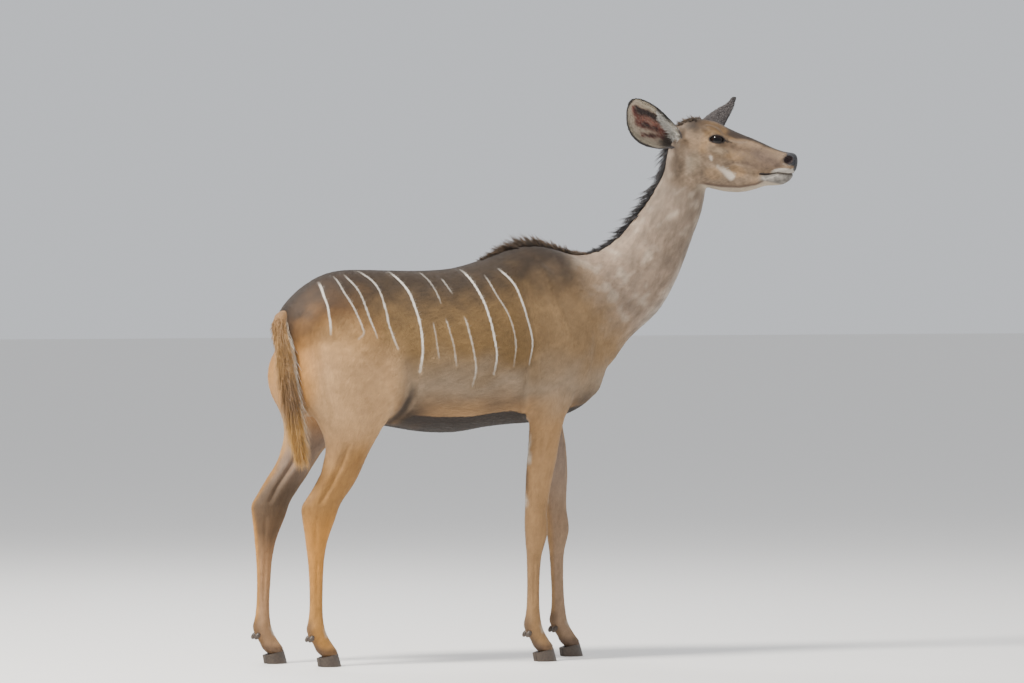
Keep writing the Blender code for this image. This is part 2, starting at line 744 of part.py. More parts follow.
def shell_volume(shell):
    volume = 0.0
    for face in shell:
        first = face.verts[0].co
        for a, b in zip(face.verts[1:], face.verts[2:]):
            volume += first.dot(a.co.cross(b.co)) / 6
    return volume


def keep_largest(obj):
    bm = bmesh.new()
    bm.from_mesh(obj.data)
    shells = sorted(shells_of(bm), key=shell_volume)
    doomed = [face for shell in shells[:-1] for face in shell]
    bmesh.ops.delete(bm, geom=doomed, context="FACES")
    bm.to_mesh(obj.data)
    bm.free()


def part_by_cuts(flesh, seeds, collection, cutters):
    """Cuts the flesh with thin plates and names each piece by the seed point nearest its middle."""
    plates = [slab(NECK_CUT[0], NECK_CUT[1], (0.30, 0.24), cutters)]
    plates.append(slab(TORSO_CUT[0], TORSO_CUT[1], (0.46, 0.36), cutters))
    for kind, joint in LEG_JOINT_CUT.items():
        for side_name, side in LEG_SIDES.items():
            x, y, half_depth = leg_slice(kind, side_name, LEG_TOP_CUT)
            size = (2 * half_depth + 0.13, 0.20)
            plates.append(slab((x, y + side * 0.005, LEG_TOP_CUT), (0, 0, 1), size, cutters))
            x, y, half_depth = leg_slice(kind, side_name, joint)
            plates.append(slab((x, y, joint), (0, 0, 1), (2 * half_depth + 0.06, 0.16), cutters))
    for plate in plates:
        boolean(flesh, plate, "DIFFERENCE")
        discard(plate)
    bm = bmesh.new()
    bm.from_mesh(flesh.data)
    shells = sorted(shells_of(bm), key=shell_volume, reverse=True)[: len(seeds)]
    pieces = {}
    free = dict(seeds)
    for shell in shells:
        points = [vertex.co for face in shell for vertex in face.verts]
        middle = sum(points, Vector()) / len(points)
        name = min(free, key=lambda key: (Vector(free[key]) - middle).length)
        del free[name]
        piece = bmesh.new()
        copies = {}
        for face in shell:
            corners = []
            for vertex in face.verts:
                if vertex not in copies:
                    copies[vertex] = piece.verts.new(vertex.co)
                corners.append(copies[vertex])
            piece.faces.new(corners)
        pieces[name] = object_from_bmesh(name, piece, collection)
    bm.free()
    discard(flesh)
    return pieces


def seed_points():
    seeds = {"torso": (0.0, 0.0, 0.95), "neck": (0.66, -0.03, 1.23), "head": (0.87, -0.15, 1.51)}
    for kind in LEG_SLICES:
        for side_name in LEG_SIDES:
            for part, z in (("upper", 0.54), ("lower", 0.18)):
                x, y, _ = leg_slice(kind, side_name, z)
                seeds[f"{kind}_{side_name}_{part}"] = (x, y, z)
    return seeds


def hoof_plane(kind, side_name):
    """Heel and toe of a foot and the sloping plane of its coronet."""
    toe_x = LEG_SLICES[kind][-1][1] + swing_at(f"{kind}_{side_name}", 0.0) + 0.004
    heel_x = toe_x - HOOF_LENGTH
    rise = (HOOF_TOE_HEIGHT - HOOF_HEEL_HEIGHT) / HOOF_LENGTH
    middle = Vector(((toe_x + heel_x) / 2, 0.0, (HOOF_TOE_HEIGHT + HOOF_HEEL_HEIGHT) / 2))
    return heel_x, middle, Vector((-rise, 0.0, 1.0)).normalized()


def trim_foot(leg, kind, side_name):
    """Ends the leg at its coronet."""
    _, middle, normal = hoof_plane(kind, side_name)
    bm = bmesh.new()
    bm.from_mesh(leg.data)
    everything = bm.verts[:] + bm.edges[:] + bm.faces[:]
    place = middle + normal * GAP
    cut = bmesh.ops.bisect_plane(bm, geom=everything, plane_co=place, plane_no=normal, clear_inner=True)
    rim = [item for item in cut["geom_cut"] if isinstance(item, bmesh.types.BMEdge)]
    bmesh.ops.triangle_fill(bm, edges=rim, use_beauty=True)
    bmesh.ops.recalc_face_normals(bm, faces=bm.faces)
    bm.to_mesh(leg.data)
    bm.free()


def claw_outline(heel_x, scale, lift, points=9):
    """One claw from above, as x and distance from the cleft's middle: flat inside and bowed outside."""
    outline = []
    length = HOOF_LENGTH * scale
    start = heel_x + lift
    for i in range(points):
        t = i / (points - 1)
        bow = math.sin(math.pi * min(1.0, 0.16 + 0.84 * t) ** 1.15) ** 0.75 if t < 1 else 0.0
        outline.append((start + length * t, CLEFT + HOOF_HALF_WIDTH * scale * bow * (1 - 0.12 * t)))
    for i in range(points - 2, 0, -1):
        t = i / (points - 1)
        outline.append((start + length * t, CLEFT + 0.0015 * t))
    outline.append((start, CLEFT))
    return outline


def make_claw(name, kind, side_name, inner, collection):
    """One half of a cloven hoof, flat on the floor and cut off along the coronet."""
    side = LEG_SIDES[side_name]
    away = -side if inner else side
    heel_x, middle, normal = hoof_plane(kind, side_name)
    foot_y = side * LEG_SLICES[kind][-1][3]
    rings = []
    for share, scale, lift in ((0.0, 1.0, 0.0), (0.45, 0.965, -0.002), (1.0, 0.90, -0.005)):
        points = []
        for x, off in claw_outline(heel_x, scale, lift):
            top = middle.z - (x - middle.x) * normal.x / normal.z
            points.append(Vector((x, foot_y + away * off, top * share)))
        rings.append(points)
    bm = bmesh.new()
    add_loft(bm, rings)
    bmesh.ops.triangulate(bm, faces=bm.faces)
    return object_from_bmesh(name, bm, collection)


def make_dewclaw(name, kind, side_name, inner, leg, collection, cutters):
    """A small horn behind the fetlock, pointing down and back."""
    side = LEG_SIDES[side_name]
    rear = LEG_SLICES[kind][-4][2] + swing_at(f"{kind}_{side_name}", 0.09)
    y = side * LEG_SLICES[kind][-4][3] + (-1 if inner else 1) * side * 0.0135
    root = Vector((rear + 0.008, y, 0.090))
    way = Vector((-0.62, 0.0, -0.78)).normalized()
    turn = way.to_track_quat("Z", "Y").to_matrix().to_4x4()
    bm = bmesh.new()
    bmesh.ops.create_cone(
        bm,
        cap_ends=True,
        segments=10,
        radius1=DEWCLAW_RADIUS,
        radius2=DEWCLAW_RADIUS * 0.45,
        depth=DEWCLAW_LENGTH,
        matrix=Matrix.Translation(root + way * DEWCLAW_LENGTH / 2) @ turn,
    )
    dewclaw = object_from_bmesh(name, bm, collection)
    seat_on(dewclaw, leg, cutters)
    return dewclaw


def tube_mesh(name, points, radius, collection, cyclic=False):
    """A round bar along points, as a mesh."""
    curve = bpy.data.curves.new(name, "CURVE")
    curve.dimensions = "3D"
    curve.bevel_depth = radius
    curve.bevel_resolution = 1
    curve.use_fill_caps = True
    spline = curve.splines.new("POLY")
    spline.points.add(len(points) - 1)
    for target, point in zip(spline.points, points):
        target.co = (*point, 1.0)
    spline.use_cyclic_u = cyclic
    guide = new_object(name + " guide", curve, collection)
    bpy.context.view_layer.update()
    mesh = bpy.data.meshes.new_from_object(guide.evaluated_get(bpy.context.evaluated_depsgraph_get()))
    bpy.data.objects.remove(guide)
    bm = bmesh.new()
    bm.from_mesh(mesh)
    bmesh.ops.remove_doubles(bm, verts=bm.verts, dist=0.00005)
    bpy.data.meshes.remove(mesh)
    return object_from_bmesh(name, bm, collection)


def eye_centre(side):
    return head_frame() @ Vector((EYE_PLACE[0], side * EYE_PLACE[1], EYE_PLACE[2]))


def lid_outline(side, count=16):
    """Points of the almond between the lids, round the middle of the eyeball, with the way it looks out."""
    frame = head_frame().to_3x3()
    out = (frame @ Vector((EYE_LOOK[0], side * EYE_LOOK[1], EYE_LOOK[2]))).normalized()
    forward = frame @ Vector((1.0, 0.0, -0.16))
    forward = (forward - out * out.dot(forward)).normalized()
    up = out.cross(forward) if out.cross(forward).z > 0 else forward.cross(out)
    points = []
    for i in range(count):
        angle = 2 * math.pi * i / count
        rise = LID_UPPER_RISE if math.sin(angle) > 0 else LID_LOWER_DROP
        points.append(forward * (LID_HALF_LENGTH * math.cos(angle)) + up * (rise * math.sin(angle)))
    return points, out


def ball(name, centre, radius, collection, segments=20, rings=12):
    bm = bmesh.new()
    bmesh.ops.create_uvsphere(
        bm, u_segments=segments, v_segments=rings, radius=radius, matrix=Matrix.Translation(centre)
    )
    return object_from_bmesh(name, bm, collection)


def make_eye(side_name, collection):
    return ball(f"eye_{side_name}", eye_centre(LEG_SIDES[side_name]), EYE_RADIUS, collection, 14, 8)


def add_lids_and_sockets(head, cutters):
    """A cap of lid over each eyeball, hollow behind, with the almond cut through it."""
    for side in LEG_SIDES.values():
        centre = eye_centre(side)
        lid = ball("lid", centre, EYE_RADIUS + LID_THICKNESS, cutters)
        boolean(head, lid, "UNION")
        discard(lid)
        socket = ball("socket", centre, EYE_RADIUS + 2.2 * GAP, cutters, 24, 14)
        boolean(head, socket, "DIFFERENCE")
        discard(socket)
        outline, out = lid_outline(side)
        bm = bmesh.new()
        ends = [centre + out * (EYE_RADIUS * depth) for depth in (0.3, 1.7)]
        add_loft(bm, [[end + point for point in outline] for end in ends])
        slit = object_from_bmesh("slit", bm, cutters)
        boolean(head, slit, "DIFFERENCE")
        discard(slit)


def on_skin(tree, forward, up, side):
    """Where a ray from the side meets the head, at a place along the face and a height."""
    frame = head_frame()
    start = frame @ Vector((forward, side * 0.2, up))
    hit = tree.ray_cast(start, frame.to_3x3() @ Vector((0, -side, 0)))[0]
    return hit if hit is not None else frame @ Vector((forward, 0.0, up))


def skin_tree(obj):
    bm = bmesh.new()
    bm.from_mesh(obj.data)
    tree = BVHTree.FromBMesh(bm)
    bm.free()
    return tree


def add_mouth_and_nostrils(head, cutters):
    """A groove along the lips from corner to corner, and the two nostrils."""
    frame = head_frame()
    tree = skin_tree(head)
    points = []
    for side in (-1, 1):
        arm = []
        for i in range(9):
            t = i / 8
            forward = MOUTH_CORNER[0] + (MOUTH_FRONT[0] - MOUTH_CORNER[0]) * t
            up = MOUTH_CORNER[1] + (MOUTH_FRONT[1] - MOUTH_CORNER[1]) * t - 0.003 * math.sin(math.pi * t)
            arm.append(on_skin(tree, forward, up, side))
        points += arm if side < 0 else arm[::-1]
    groove = tube_mesh("mouth", points, MOUTH_GROOVE, cutters)
    boolean(head, groove, "DIFFERENCE")
    discard(groove)
    for side in (-1, 1):
        place = on_skin(tree, NOSTRIL_PLACE[0], NOSTRIL_PLACE[1], side)
        turn = frame.to_3x3().to_4x4() @ Matrix.Rotation(side * math.radians(-38), 4, "Z")
        turn = turn @ Matrix.Rotation(math.radians(-24), 4, "Y")
        bm = bmesh.new()
        bmesh.ops.create_uvsphere(
            bm,
            u_segments=12,
            v_segments=8,
            radius=1.0,
            matrix=Matrix.Translation(place) @ turn @ Matrix.Diagonal((*NOSTRIL_RADII, 1.0)),
        )
        nostril = object_from_bmesh("nostril", bm, cutters)
        boolean(head, nostril, "DIFFERENCE")
        discard(nostril)
    keep_largest(head)


def tail_rings(rows):
    """Round sections square to the tail's own line."""
    places = [Vector(row[:3]) for row in rows]
    rings = []
    for i, row in enumerate(rows):
        way = (places[min(i + 1, len(rows) - 1)] - places[max(i - 1, 0)]).normalized()
        side = Vector((0, 1, 0))
        side = (side - way * side.dot(way)).normalized()
        rings.append(ring(places[i], side, way.cross(side), row[3] * 1.05, row[3], count=12))
    return rings


def make_tail(collection, torso, cutters):
    """The dock with its bush of locks, hanging clear of the buttocks from a stub on the rump."""
    rows = smooth_rows(TAIL, 2)
    bm = bmesh.new()
    add_loft(bm, tail_rings(rows))
    tail = object_from_bmesh("tail", bm, collection)
    draw = random.Random(SEED + 1)
    locks = make_collection("tail locks")
    for i in range(TAIL_LOCKS):
        share = 0.24 + 0.76 * ((i + 0.5) / TAIL_LOCKS) ** 0.85
        position = share * (len(rows) - 1)
        k = min(int(position), len(rows) - 2)
        row = rows[k] + (rows[k + 1] - rows[k]) * (position - k)
        centre, radius = Vector(row[:3]), row[3]
        way = (Vector(rows[k + 1][:3]) - Vector(rows[k][:3])).normalized()
        angle = 2.399963 * i
        side = Vector((0, 1, 0))
        side = (side - way * side.dot(way)).normalized()
        out = side * math.cos(angle) + way.cross(side) * math.sin(angle)
        bm = bmesh.new()
        add_lock(
            bm,
            centre + out * (radius * 0.62) - way * 0.006,
            way + out * 0.16,
            way.cross(out),
            TAIL_LOCK_LENGTH * draw.uniform(0.75, 1.1) * (0.62 + 0.45 * share),
            0.021 * draw.uniform(0.85, 1.15) * (1.1 - 0.35 * share),
            -out * 0.10,
            thickness=0.0075,
        )
        object_from_bmesh("lock", bm, locks)
    union_of_locks(tail, locks)
    seat_on(tail, torso, cutters)
    return tail


def finish(obj, material, smooth=False):
    obj.data.materials.clear()
    obj.data.materials.append(material)
    if smooth:
        obj.data.shade_smooth()


def stand_at_origin(objects):
    """Centres the model's box over the origin, feet on z = 0."""
    points = np.array([tuple(v.co) for obj in objects for v in obj.data.vertices])
    low, high = points.min(axis=0), points.max(axis=0)
    shift = Matrix.Translation((-(low[0] + high[0]) / 2, -(low[1] + high[1]) / 2, -low[2]))
    for obj in objects:
        obj.data.transform(shift)
    print("shift to origin", [round(v, 5) for v in shift.to_translation()])


def main():
    for obj in list(bpy.data.objects):
        bpy.data.objects.remove(obj)
    parts = make_collection("greater kudu cow")
    cutters = make_collection("cutters")
    materials = {name: make_material(name) for name in COLOURS}
    flesh = make_flesh(cutters)
    add_manes(flesh)
    nodes = part_by_cuts(flesh, seed_points(), parts, cutters)
    for kind in LEG_SLICES:
        for side_name in LEG_SIDES:
            leg = nodes[f"{kind}_{side_name}_lower"]
            trim_foot(leg, kind, side_name)
            for inner in (True, False):
                place = f"{kind}_{side_name}_{'inner' if inner else 'outer'}"
                nodes[f"hoof_{place}"] = make_claw(f"hoof_{place}", kind, side_name, inner, parts)
                name = f"dewclaw_{place}"
                nodes[name] = make_dewclaw(name, kind, side_name, inner, leg, parts, cutters)
    nodes["tail"] = make_tail(parts, nodes["torso"], cutters)
    add_mouth_and_nostrils(nodes["head"], cutters)
    add_lids_and_sockets(nodes["head"], cutters)
    for side_name in LEG_SIDES:
        nodes[f"eye_{side_name}"] = make_eye(side_name, parts)
        nodes[f"ear_{side_name}"] = make_ear(side_name, parts)
        seat_on(nodes[f"ear_{side_name}"], nodes["head"], cutters)
    for name, obj in nodes.items():
        if name.startswith(("hoof", "dewclaw")):
            finish(obj, materials["horn"])
        elif name.startswith("eye"):
            finish(obj, materials["eye"], smooth=True)
        elif name.startswith("ear"):
            finish(obj, materials["ear skin"])
        elif "leg" in name:
            finish(obj, materials["leg coat"])
        else:
            finish(obj, materials["coat"])
    stand_at_origin(list(nodes.values()))


main()
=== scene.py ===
import math

import bmesh
import bpy
import numpy as np
from mathutils import Matrix, Vector
from mathutils.bvhtree import BVHTree


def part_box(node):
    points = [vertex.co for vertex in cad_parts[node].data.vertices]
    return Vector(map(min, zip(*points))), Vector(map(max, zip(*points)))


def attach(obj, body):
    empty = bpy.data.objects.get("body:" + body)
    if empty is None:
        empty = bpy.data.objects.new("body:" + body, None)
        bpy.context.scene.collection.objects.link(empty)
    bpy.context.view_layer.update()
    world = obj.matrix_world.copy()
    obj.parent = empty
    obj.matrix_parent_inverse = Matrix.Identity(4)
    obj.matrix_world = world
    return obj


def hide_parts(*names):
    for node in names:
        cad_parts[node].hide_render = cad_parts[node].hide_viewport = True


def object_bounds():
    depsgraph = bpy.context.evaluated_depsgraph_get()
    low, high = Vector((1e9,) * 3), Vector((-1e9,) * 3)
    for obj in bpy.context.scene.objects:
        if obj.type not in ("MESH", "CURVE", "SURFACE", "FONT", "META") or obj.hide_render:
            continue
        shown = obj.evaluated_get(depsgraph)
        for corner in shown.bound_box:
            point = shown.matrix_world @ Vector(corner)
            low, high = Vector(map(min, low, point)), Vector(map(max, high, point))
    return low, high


# Greater kudu cow in her short summer coat, standing on a pale studio floor.
# Everything is shaped with the tail end towards -X, her left towards +Y, and moved
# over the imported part's own place at the end.

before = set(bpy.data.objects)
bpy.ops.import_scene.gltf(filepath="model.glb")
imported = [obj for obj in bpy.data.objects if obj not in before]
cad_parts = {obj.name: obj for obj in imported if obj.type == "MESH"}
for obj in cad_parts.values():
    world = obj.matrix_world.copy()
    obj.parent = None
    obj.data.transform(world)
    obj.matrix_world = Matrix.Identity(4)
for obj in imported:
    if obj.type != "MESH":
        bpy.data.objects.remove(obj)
cadLow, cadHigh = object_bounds()
placeShift = Vector((-0.24566, 0.03788, 0.0))
draw = np.random.default_rng(11)
collection = bpy.context.scene.collection
print("frame loaded, nodes:", len(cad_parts))


# small helpers


def linear(hexColour):
    channels = [int(hexColour[i:i + 2], 16) / 255 for i in (1, 3, 5)]
    return tuple(c / 12.92 if c <= 0.04045 else ((c + 0.055) / 1.055) ** 2.4 for c in channels)


def blend(colours, hexColour, weight):
    weight = np.clip(weight, 0.0, 1.0)[:, None]
    return colours * (1 - weight) + np.array(linear(hexColour)) * weight


def evenColour(hexColour, count):
    return np.tile(np.array(linear(hexColour)), (count, 1))


def ramp(value, start, full):
    # 0 at start and 1 at full, eased at both ends; full may be the lower one
    t = np.clip((value - start) / (full - start), 0.0, 1.0)
    return t * t * (3 - 2 * t)


def unit(rows):
    return rows / np.maximum(np.linalg.norm(rows, axis=1, keepdims=True), 1e-12)


def objectFrom(name, bm):
    bmesh.ops.recalc_face_normals(bm, faces=bm.faces)
    mesh = bpy.data.meshes.new(name)
    bm.to_mesh(mesh)
    bm.free()
    made = bpy.data.objects.new(name, mesh)
    collection.objects.link(made)
    return made


def applyAll(obj):
    bpy.context.view_layer.update()
    graph = bpy.context.evaluated_depsgraph_get()
    mesh = bpy.data.meshes.new_from_object(obj.evaluated_get(graph))
    obj.modifiers.clear()
    old = obj.data
    obj.data = mesh
    bpy.data.meshes.remove(old)


def cutOrJoin(obj, other, operation):
    step = obj.modifiers.new("step", "BOOLEAN")
    step.operation = operation
    step.solver = "MANIFOLD"
    step.object = other
    applyAll(obj)
    bpy.data.objects.remove(other)


def smoothRows(rows, steps=3):
    # rows between the given ones, on a curve through all of them
    table = np.array(rows, float)
    padded = np.vstack([2 * table[0] - table[1], table, 2 * table[-1] - table[-2]])
    out = []
    for i in range(1, len(padded) - 2):
        a, b, c, d = padded[i - 1:i + 3]
        for step in range(steps):
            t = step / steps
            out.append(0.5 * (2 * b + (c - a) * t + (2 * a - 5 * b + 4 * c - d) * t ** 2
                              + (3 * b - a - 3 * c + d) * t ** 3))
    out.append(table[-1])
    return out


def ringPoints(centre, side, up, halfWidth, halfHeight, narrowing=0.0, power=2.1, count=32):
    points = []
    for i in range(count):
        angle = 2 * math.pi * (i + 0.5) / count
        across = math.copysign(abs(math.cos(angle)) ** (2 / power), math.cos(angle))
        along = math.copysign(abs(math.sin(angle)) ** (2 / power), math.sin(angle))
        points.append(centre + side * (halfWidth * across * (1 - narrowing * along))
                      + up * (halfHeight * along))
    return points


def addLoft(bm, rings):
    # circles pulled to each cross-section, bridged from one to the next and capped
    loops = []
    for points in rings:
        verts = bmesh.ops.create_circle(bm, segments=len(points), radius=1.0)["verts"]
        for vert, point in zip(verts, points):
            vert.co = point
        inside = set(verts)
        edges = {e for v in verts for e in v.link_edges}
        loops.append([e for e in edges if e.other_vert(e.verts[0]) in inside])
    for lower, upper in zip(loops, loops[1:]):
        bmesh.ops.bridge_loops(bm, edges=lower + upper)
    for loop in (loops[0], loops[-1]):
        bmesh.ops.contextual_create(bm, geom=loop)


def addBall(bm, centre, radii, tiltDegrees=0.0, within=None):
    place = Matrix.Translation(centre) @ Matrix.Rotation(math.radians(tiltDegrees), 4, "Y")
    if within is not None:
        place = within @ place
    bmesh.ops.create_uvsphere(bm, u_segments=24, v_segments=14, radius=1.0,
                              matrix=place @ Matrix.Diagonal((*radii, 1.0)))


def lengthsAlong(line):
    return np.concatenate([[0.0], np.cumsum(np.linalg.norm(np.diff(line, axis=0), axis=1))])


def alongLine(t, shares, line):
    return np.stack([np.interp(t, shares, line[:, k]) for k in range(3)], axis=1)


def distanceToLine(flat, line):
    # nearest distance of 2-D points to a row of points, and how far along it
    best = np.full(len(flat), 1e9)
    share = np.zeros(len(flat))
    line = np.array(line, float)
    lengths = lengthsAlong(line)
    for i in range(len(line) - 1):
        a, b = line[i], line[i + 1]
        t = np.clip(((flat - a) @ (b - a)) / ((b - a) @ (b - a)), 0, 1)
        gap = np.linalg.norm(flat - a - t[:, None] * (b - a), axis=1)
        closer = gap < best
        best = np.where(closer, gap, best)
        share = np.where(closer, (lengths[i] + t * (lengths[i + 1] - lengths[i])) / lengths[-1], share)
    return best, share


def faceAreas(corners):
    crossed = np.cross(corners[:, 1] - corners[:, 0], corners[:, 2] - corners[:, 0])
    return np.linalg.norm(crossed, axis=1) / 2


def randomSpots(points, normals, faces, chosen):
    # an even random place on each chosen face, with the shares of its corners and the way out of the skin
    a, b = draw.random(len(chosen)), draw.random(len(chosen))
    flip = a + b > 1
    a[flip], b[flip] = 1 - a[flip], 1 - b[flip]
    shares = np.stack([1 - a - b, a, b], axis=1)
    corners = faces[chosen]
    places = np.einsum("nk,nkd->nd", shares, points[corners])
    return shares, places, unit(np.einsum("nk,nkd->nd", shares, normals[corners]))


def meshArrays(obj):
    mesh = obj.data
    mesh.calc_loop_triangles()
    points = np.empty(len(mesh.vertices) * 3, np.float32)
    mesh.vertices.foreach_get("co", points)
    normals = np.empty(len(mesh.vertices) * 3, np.float32)
    mesh.vertex_normals.foreach_get("vector", normals)
    faces = np.empty(len(mesh.loop_triangles) * 3, np.int32)
    mesh.loop_triangles.foreach_get("vertices", faces)
    return points.reshape(-1, 3).astype(float), normals.reshape(-1, 3).astype(float), faces.reshape(-1, 3)


def surfaceTree(obj):
    points, _, faces = meshArrays(obj)
    return BVHTree.FromPolygons([Vector(p) for p in points], faces.tolist())


def setPoints(obj, points):
    obj.data.vertices.foreach_set("co", points.astype(np.float32).ravel())
    obj.data.update()


def addGroup(obj, name, weights, digits):
    # the weights are rounded, so that one call adds all points of a level
    group = obj.vertex_groups.new(name=name)
    rounded = np.round(weights, digits)
    for level in np.unique(rounded):
        group.add(np.flatnonzero(rounded == level).tolist(), float(level), "REPLACE")
    return group.name


def paint(mesh, name, colours):
    layer = mesh.color_attributes.new(name, "FLOAT_COLOR", "POINT")
    rgba = np.ones((len(mesh.vertices), 4), np.float32)
    rgba[:, :3] = np.clip(colours, 0.0, 1.0)
    layer.data.foreach_set("color", rgba.ravel())


# the body's own sizes

trunkRows = [  # x, top, bottom, half width, narrowing towards the top
    (-0.512, 1.030, 0.940, 0.036, 0.00), (-0.490, 1.070, 0.860, 0.085, 0.05),
    (-0.440, 1.118, 0.790, 0.122, 0.10), (-0.380, 1.154, 0.752, 0.148, 0.14),
    (-0.320, 1.170, 0.728, 0.160, 0.16), (-0.250, 1.172, 0.715, 0.166, 0.16),
    (-0.160, 1.170, 0.700, 0.180, 0.14), (-0.060, 1.169, 0.684, 0.197, 0.12),
    (0.040, 1.176, 0.682, 0.203, 0.12), (0.130, 1.200, 0.696, 0.196, 0.18),
    (0.210, 1.229, 0.704, 0.178, 0.26), (0.280, 1.244, 0.708, 0.160, 0.34),
    (0.350, 1.237, 0.718, 0.148, 0.34), (0.420, 1.205, 0.740, 0.134, 0.26),
    (0.475, 1.130, 0.776, 0.110, 0.15), (0.512, 1.050, 0.830, 0.080, 0.05),
    (0.532, 0.980, 0.885, 0.040, 0.00),
]
neckRows = [  # nape x and z, throat x and z, y, half width, turn to the side in degrees
    (0.250, 1.190, 0.400, 0.800, 0.000, 0.120, 0), (0.335, 1.236, 0.530, 0.867, 0.000, 0.118, 0),
    (0.435, 1.214, 0.602, 0.955, -0.003, 0.096, -4), (0.510, 1.228, 0.694, 1.038, -0.012, 0.080, -9),
    (0.566, 1.265, 0.744, 1.124, -0.025, 0.069, -14), (0.618, 1.328, 0.772, 1.200, -0.042, 0.062, -19),
    (0.660, 1.390, 0.793, 1.271, -0.058, 0.058, -23), (0.697, 1.461, 0.813, 1.334, -0.072, 0.056, -27),
    (0.705, 1.527, 0.822, 1.398, -0.083, 0.055, -30), (0.728, 1.560, 0.820, 1.450, -0.090, 0.046, -32),
]
headPlace = (0.768, -0.090, 1.527)
headTurn, headDip = -32, 12
skullRows = [  # forward along the face, top, bottom, half width, narrowing towards the top
    (-0.060, 0.048, -0.020, 0.026, 0.00), (-0.040, 0.076, -0.036, 0.044, 0.05),
    (-0.005, 0.097, -0.044, 0.055, 0.10), (0.030, 0.1025, -0.046, 0.059, 0.10),
    (0.068, 0.1010, -0.046, 0.058, 0.05), (0.105, 0.0915, -0.048, 0.052, 0.10),
    (0.145, 0.0830, -0.046, 0.043, 0.22), (0.187, 0.0760, -0.042, 0.0375, 0.28),
    (0.222, 0.0685, -0.034, 0.0345, 0.25), (0.255, 0.0610, -0.024, 0.0325, 0.18),
    (0.285, 0.0575, -0.013, 0.0310, 0.08), (0.308, 0.0592, -0.007, 0.0290, 0.00),
    (0.320, 0.0580, -0.003, 0.0250, 0.00), (0.3267, 0.0505, 0.001, 0.0200, 0.00),
    (0.3308, 0.0405, 0.006, 0.0140, 0.00), (0.3327, 0.0300, 0.011, 0.0080, 0.00),
]
jawRows = [
    (-0.012, 0.020, -0.062, 0.030, 0.00), (0.020, 0.020, -0.088, 0.046, 0.00),
    (0.060, 0.010, -0.096, 0.049, -0.05), (0.100, 0.000, -0.0985, 0.044, -0.10),
    (0.140, -0.010, -0.0985, 0.035, -0.12), (0.187, -0.015, -0.0895, 0.0285, -0.10),
    (0.222, -0.018, -0.0735, 0.0260, 0.00), (0.250, -0.014, -0.0575, 0.0260, 0.00),
    (0.280, -0.009, -0.0495, 0.0260, 0.00), (0.302, -0.005, -0.0415, 0.0235, 0.00),
    (0.316, -0.002, -0.0290, 0.0180, 0.00), (0.326, 0.000, -0.0140, 0.0100, 0.00),
]
legRows = {  # height, front x, rear x, distance off the midline, half width
    "hindleg": [
        (1.020, -0.270, -0.440, 0.070, 0.045), (0.950, -0.225, -0.478, 0.092, 0.062),
        (0.870, -0.196, -0.494, 0.106, 0.071), (0.787, -0.190, -0.478, 0.113, 0.067),
        (0.733, -0.210, -0.442, 0.114, 0.061), (0.684, -0.237, -0.415, 0.112, 0.055),
        (0.637, -0.265, -0.404, 0.109, 0.049), (0.597, -0.284, -0.406, 0.106, 0.043),
        (0.555, -0.303, -0.426, 0.103, 0.038), (0.525, -0.321, -0.442, 0.100, 0.0345),
        (0.495, -0.343, -0.462, 0.098, 0.0325), (0.470, -0.357, -0.476, 0.097, 0.0315),
        (0.434, -0.370, -0.473, 0.096, 0.0320), (0.394, -0.386, -0.466, 0.096, 0.0300),
        (0.362, -0.396, -0.462, 0.096, 0.0265), (0.330, -0.402, -0.458, 0.096, 0.0230),
        (0.300, -0.4055, -0.4545, 0.096, 0.0205), (0.240, -0.4080, -0.4510, 0.096, 0.0190),
        (0.180, -0.4095, -0.4510, 0.097, 0.0190), (0.140, -0.4075, -0.4550, 0.098, 0.0210),
        (0.112, -0.4030, -0.4610, 0.099, 0.0255), (0.088, -0.3930, -0.4540, 0.100, 0.0250),
        (0.064, -0.3770, -0.4390, 0.100, 0.0240), (0.046, -0.3650, -0.4300, 0.100, 0.0275),
        (0.026, -0.3680, -0.4080, 0.100, 0.0200),
    ],
    "foreleg": [
        (0.960, 0.400, 0.290, 0.070, 0.035), (0.900, 0.408, 0.262, 0.090, 0.050),
        (0.830, 0.400, 0.248, 0.102, 0.052), (0.765, 0.378, 0.240, 0.107, 0.048),
        (0.725, 0.358, 0.243, 0.107, 0.044), (0.665, 0.343, 0.2425, 0.106, 0.041),
        (0.610, 0.333, 0.2390, 0.104, 0.037), (0.560, 0.322, 0.2360, 0.102, 0.0335),
        (0.500, 0.310, 0.2345, 0.100, 0.0310), (0.450, 0.303, 0.2340, 0.099, 0.0320),
        (0.415, 0.304, 0.2335, 0.099, 0.0350), (0.385, 0.304, 0.2345, 0.099, 0.0350),
        (0.355, 0.297, 0.2360, 0.099, 0.0310), (0.325, 0.288, 0.2385, 0.099, 0.0255),
        (0.290, 0.283, 0.2395, 0.099, 0.0215), (0.240, 0.280, 0.2400, 0.099, 0.0195),
        (0.180, 0.2795, 0.2390, 0.099, 0.0195), (0.140, 0.282, 0.2350, 0.099, 0.0215),
        (0.112, 0.286, 0.2290, 0.100, 0.0255), (0.088, 0.295, 0.2360, 0.100, 0.0250),
        (0.064, 0.310, 0.2510, 0.100, 0.0240), (0.046, 0.322, 0.2600, 0.100, 0.0275),
        (0.026, 0.320, 0.2800, 0.100, 0.0200),
    ],
}
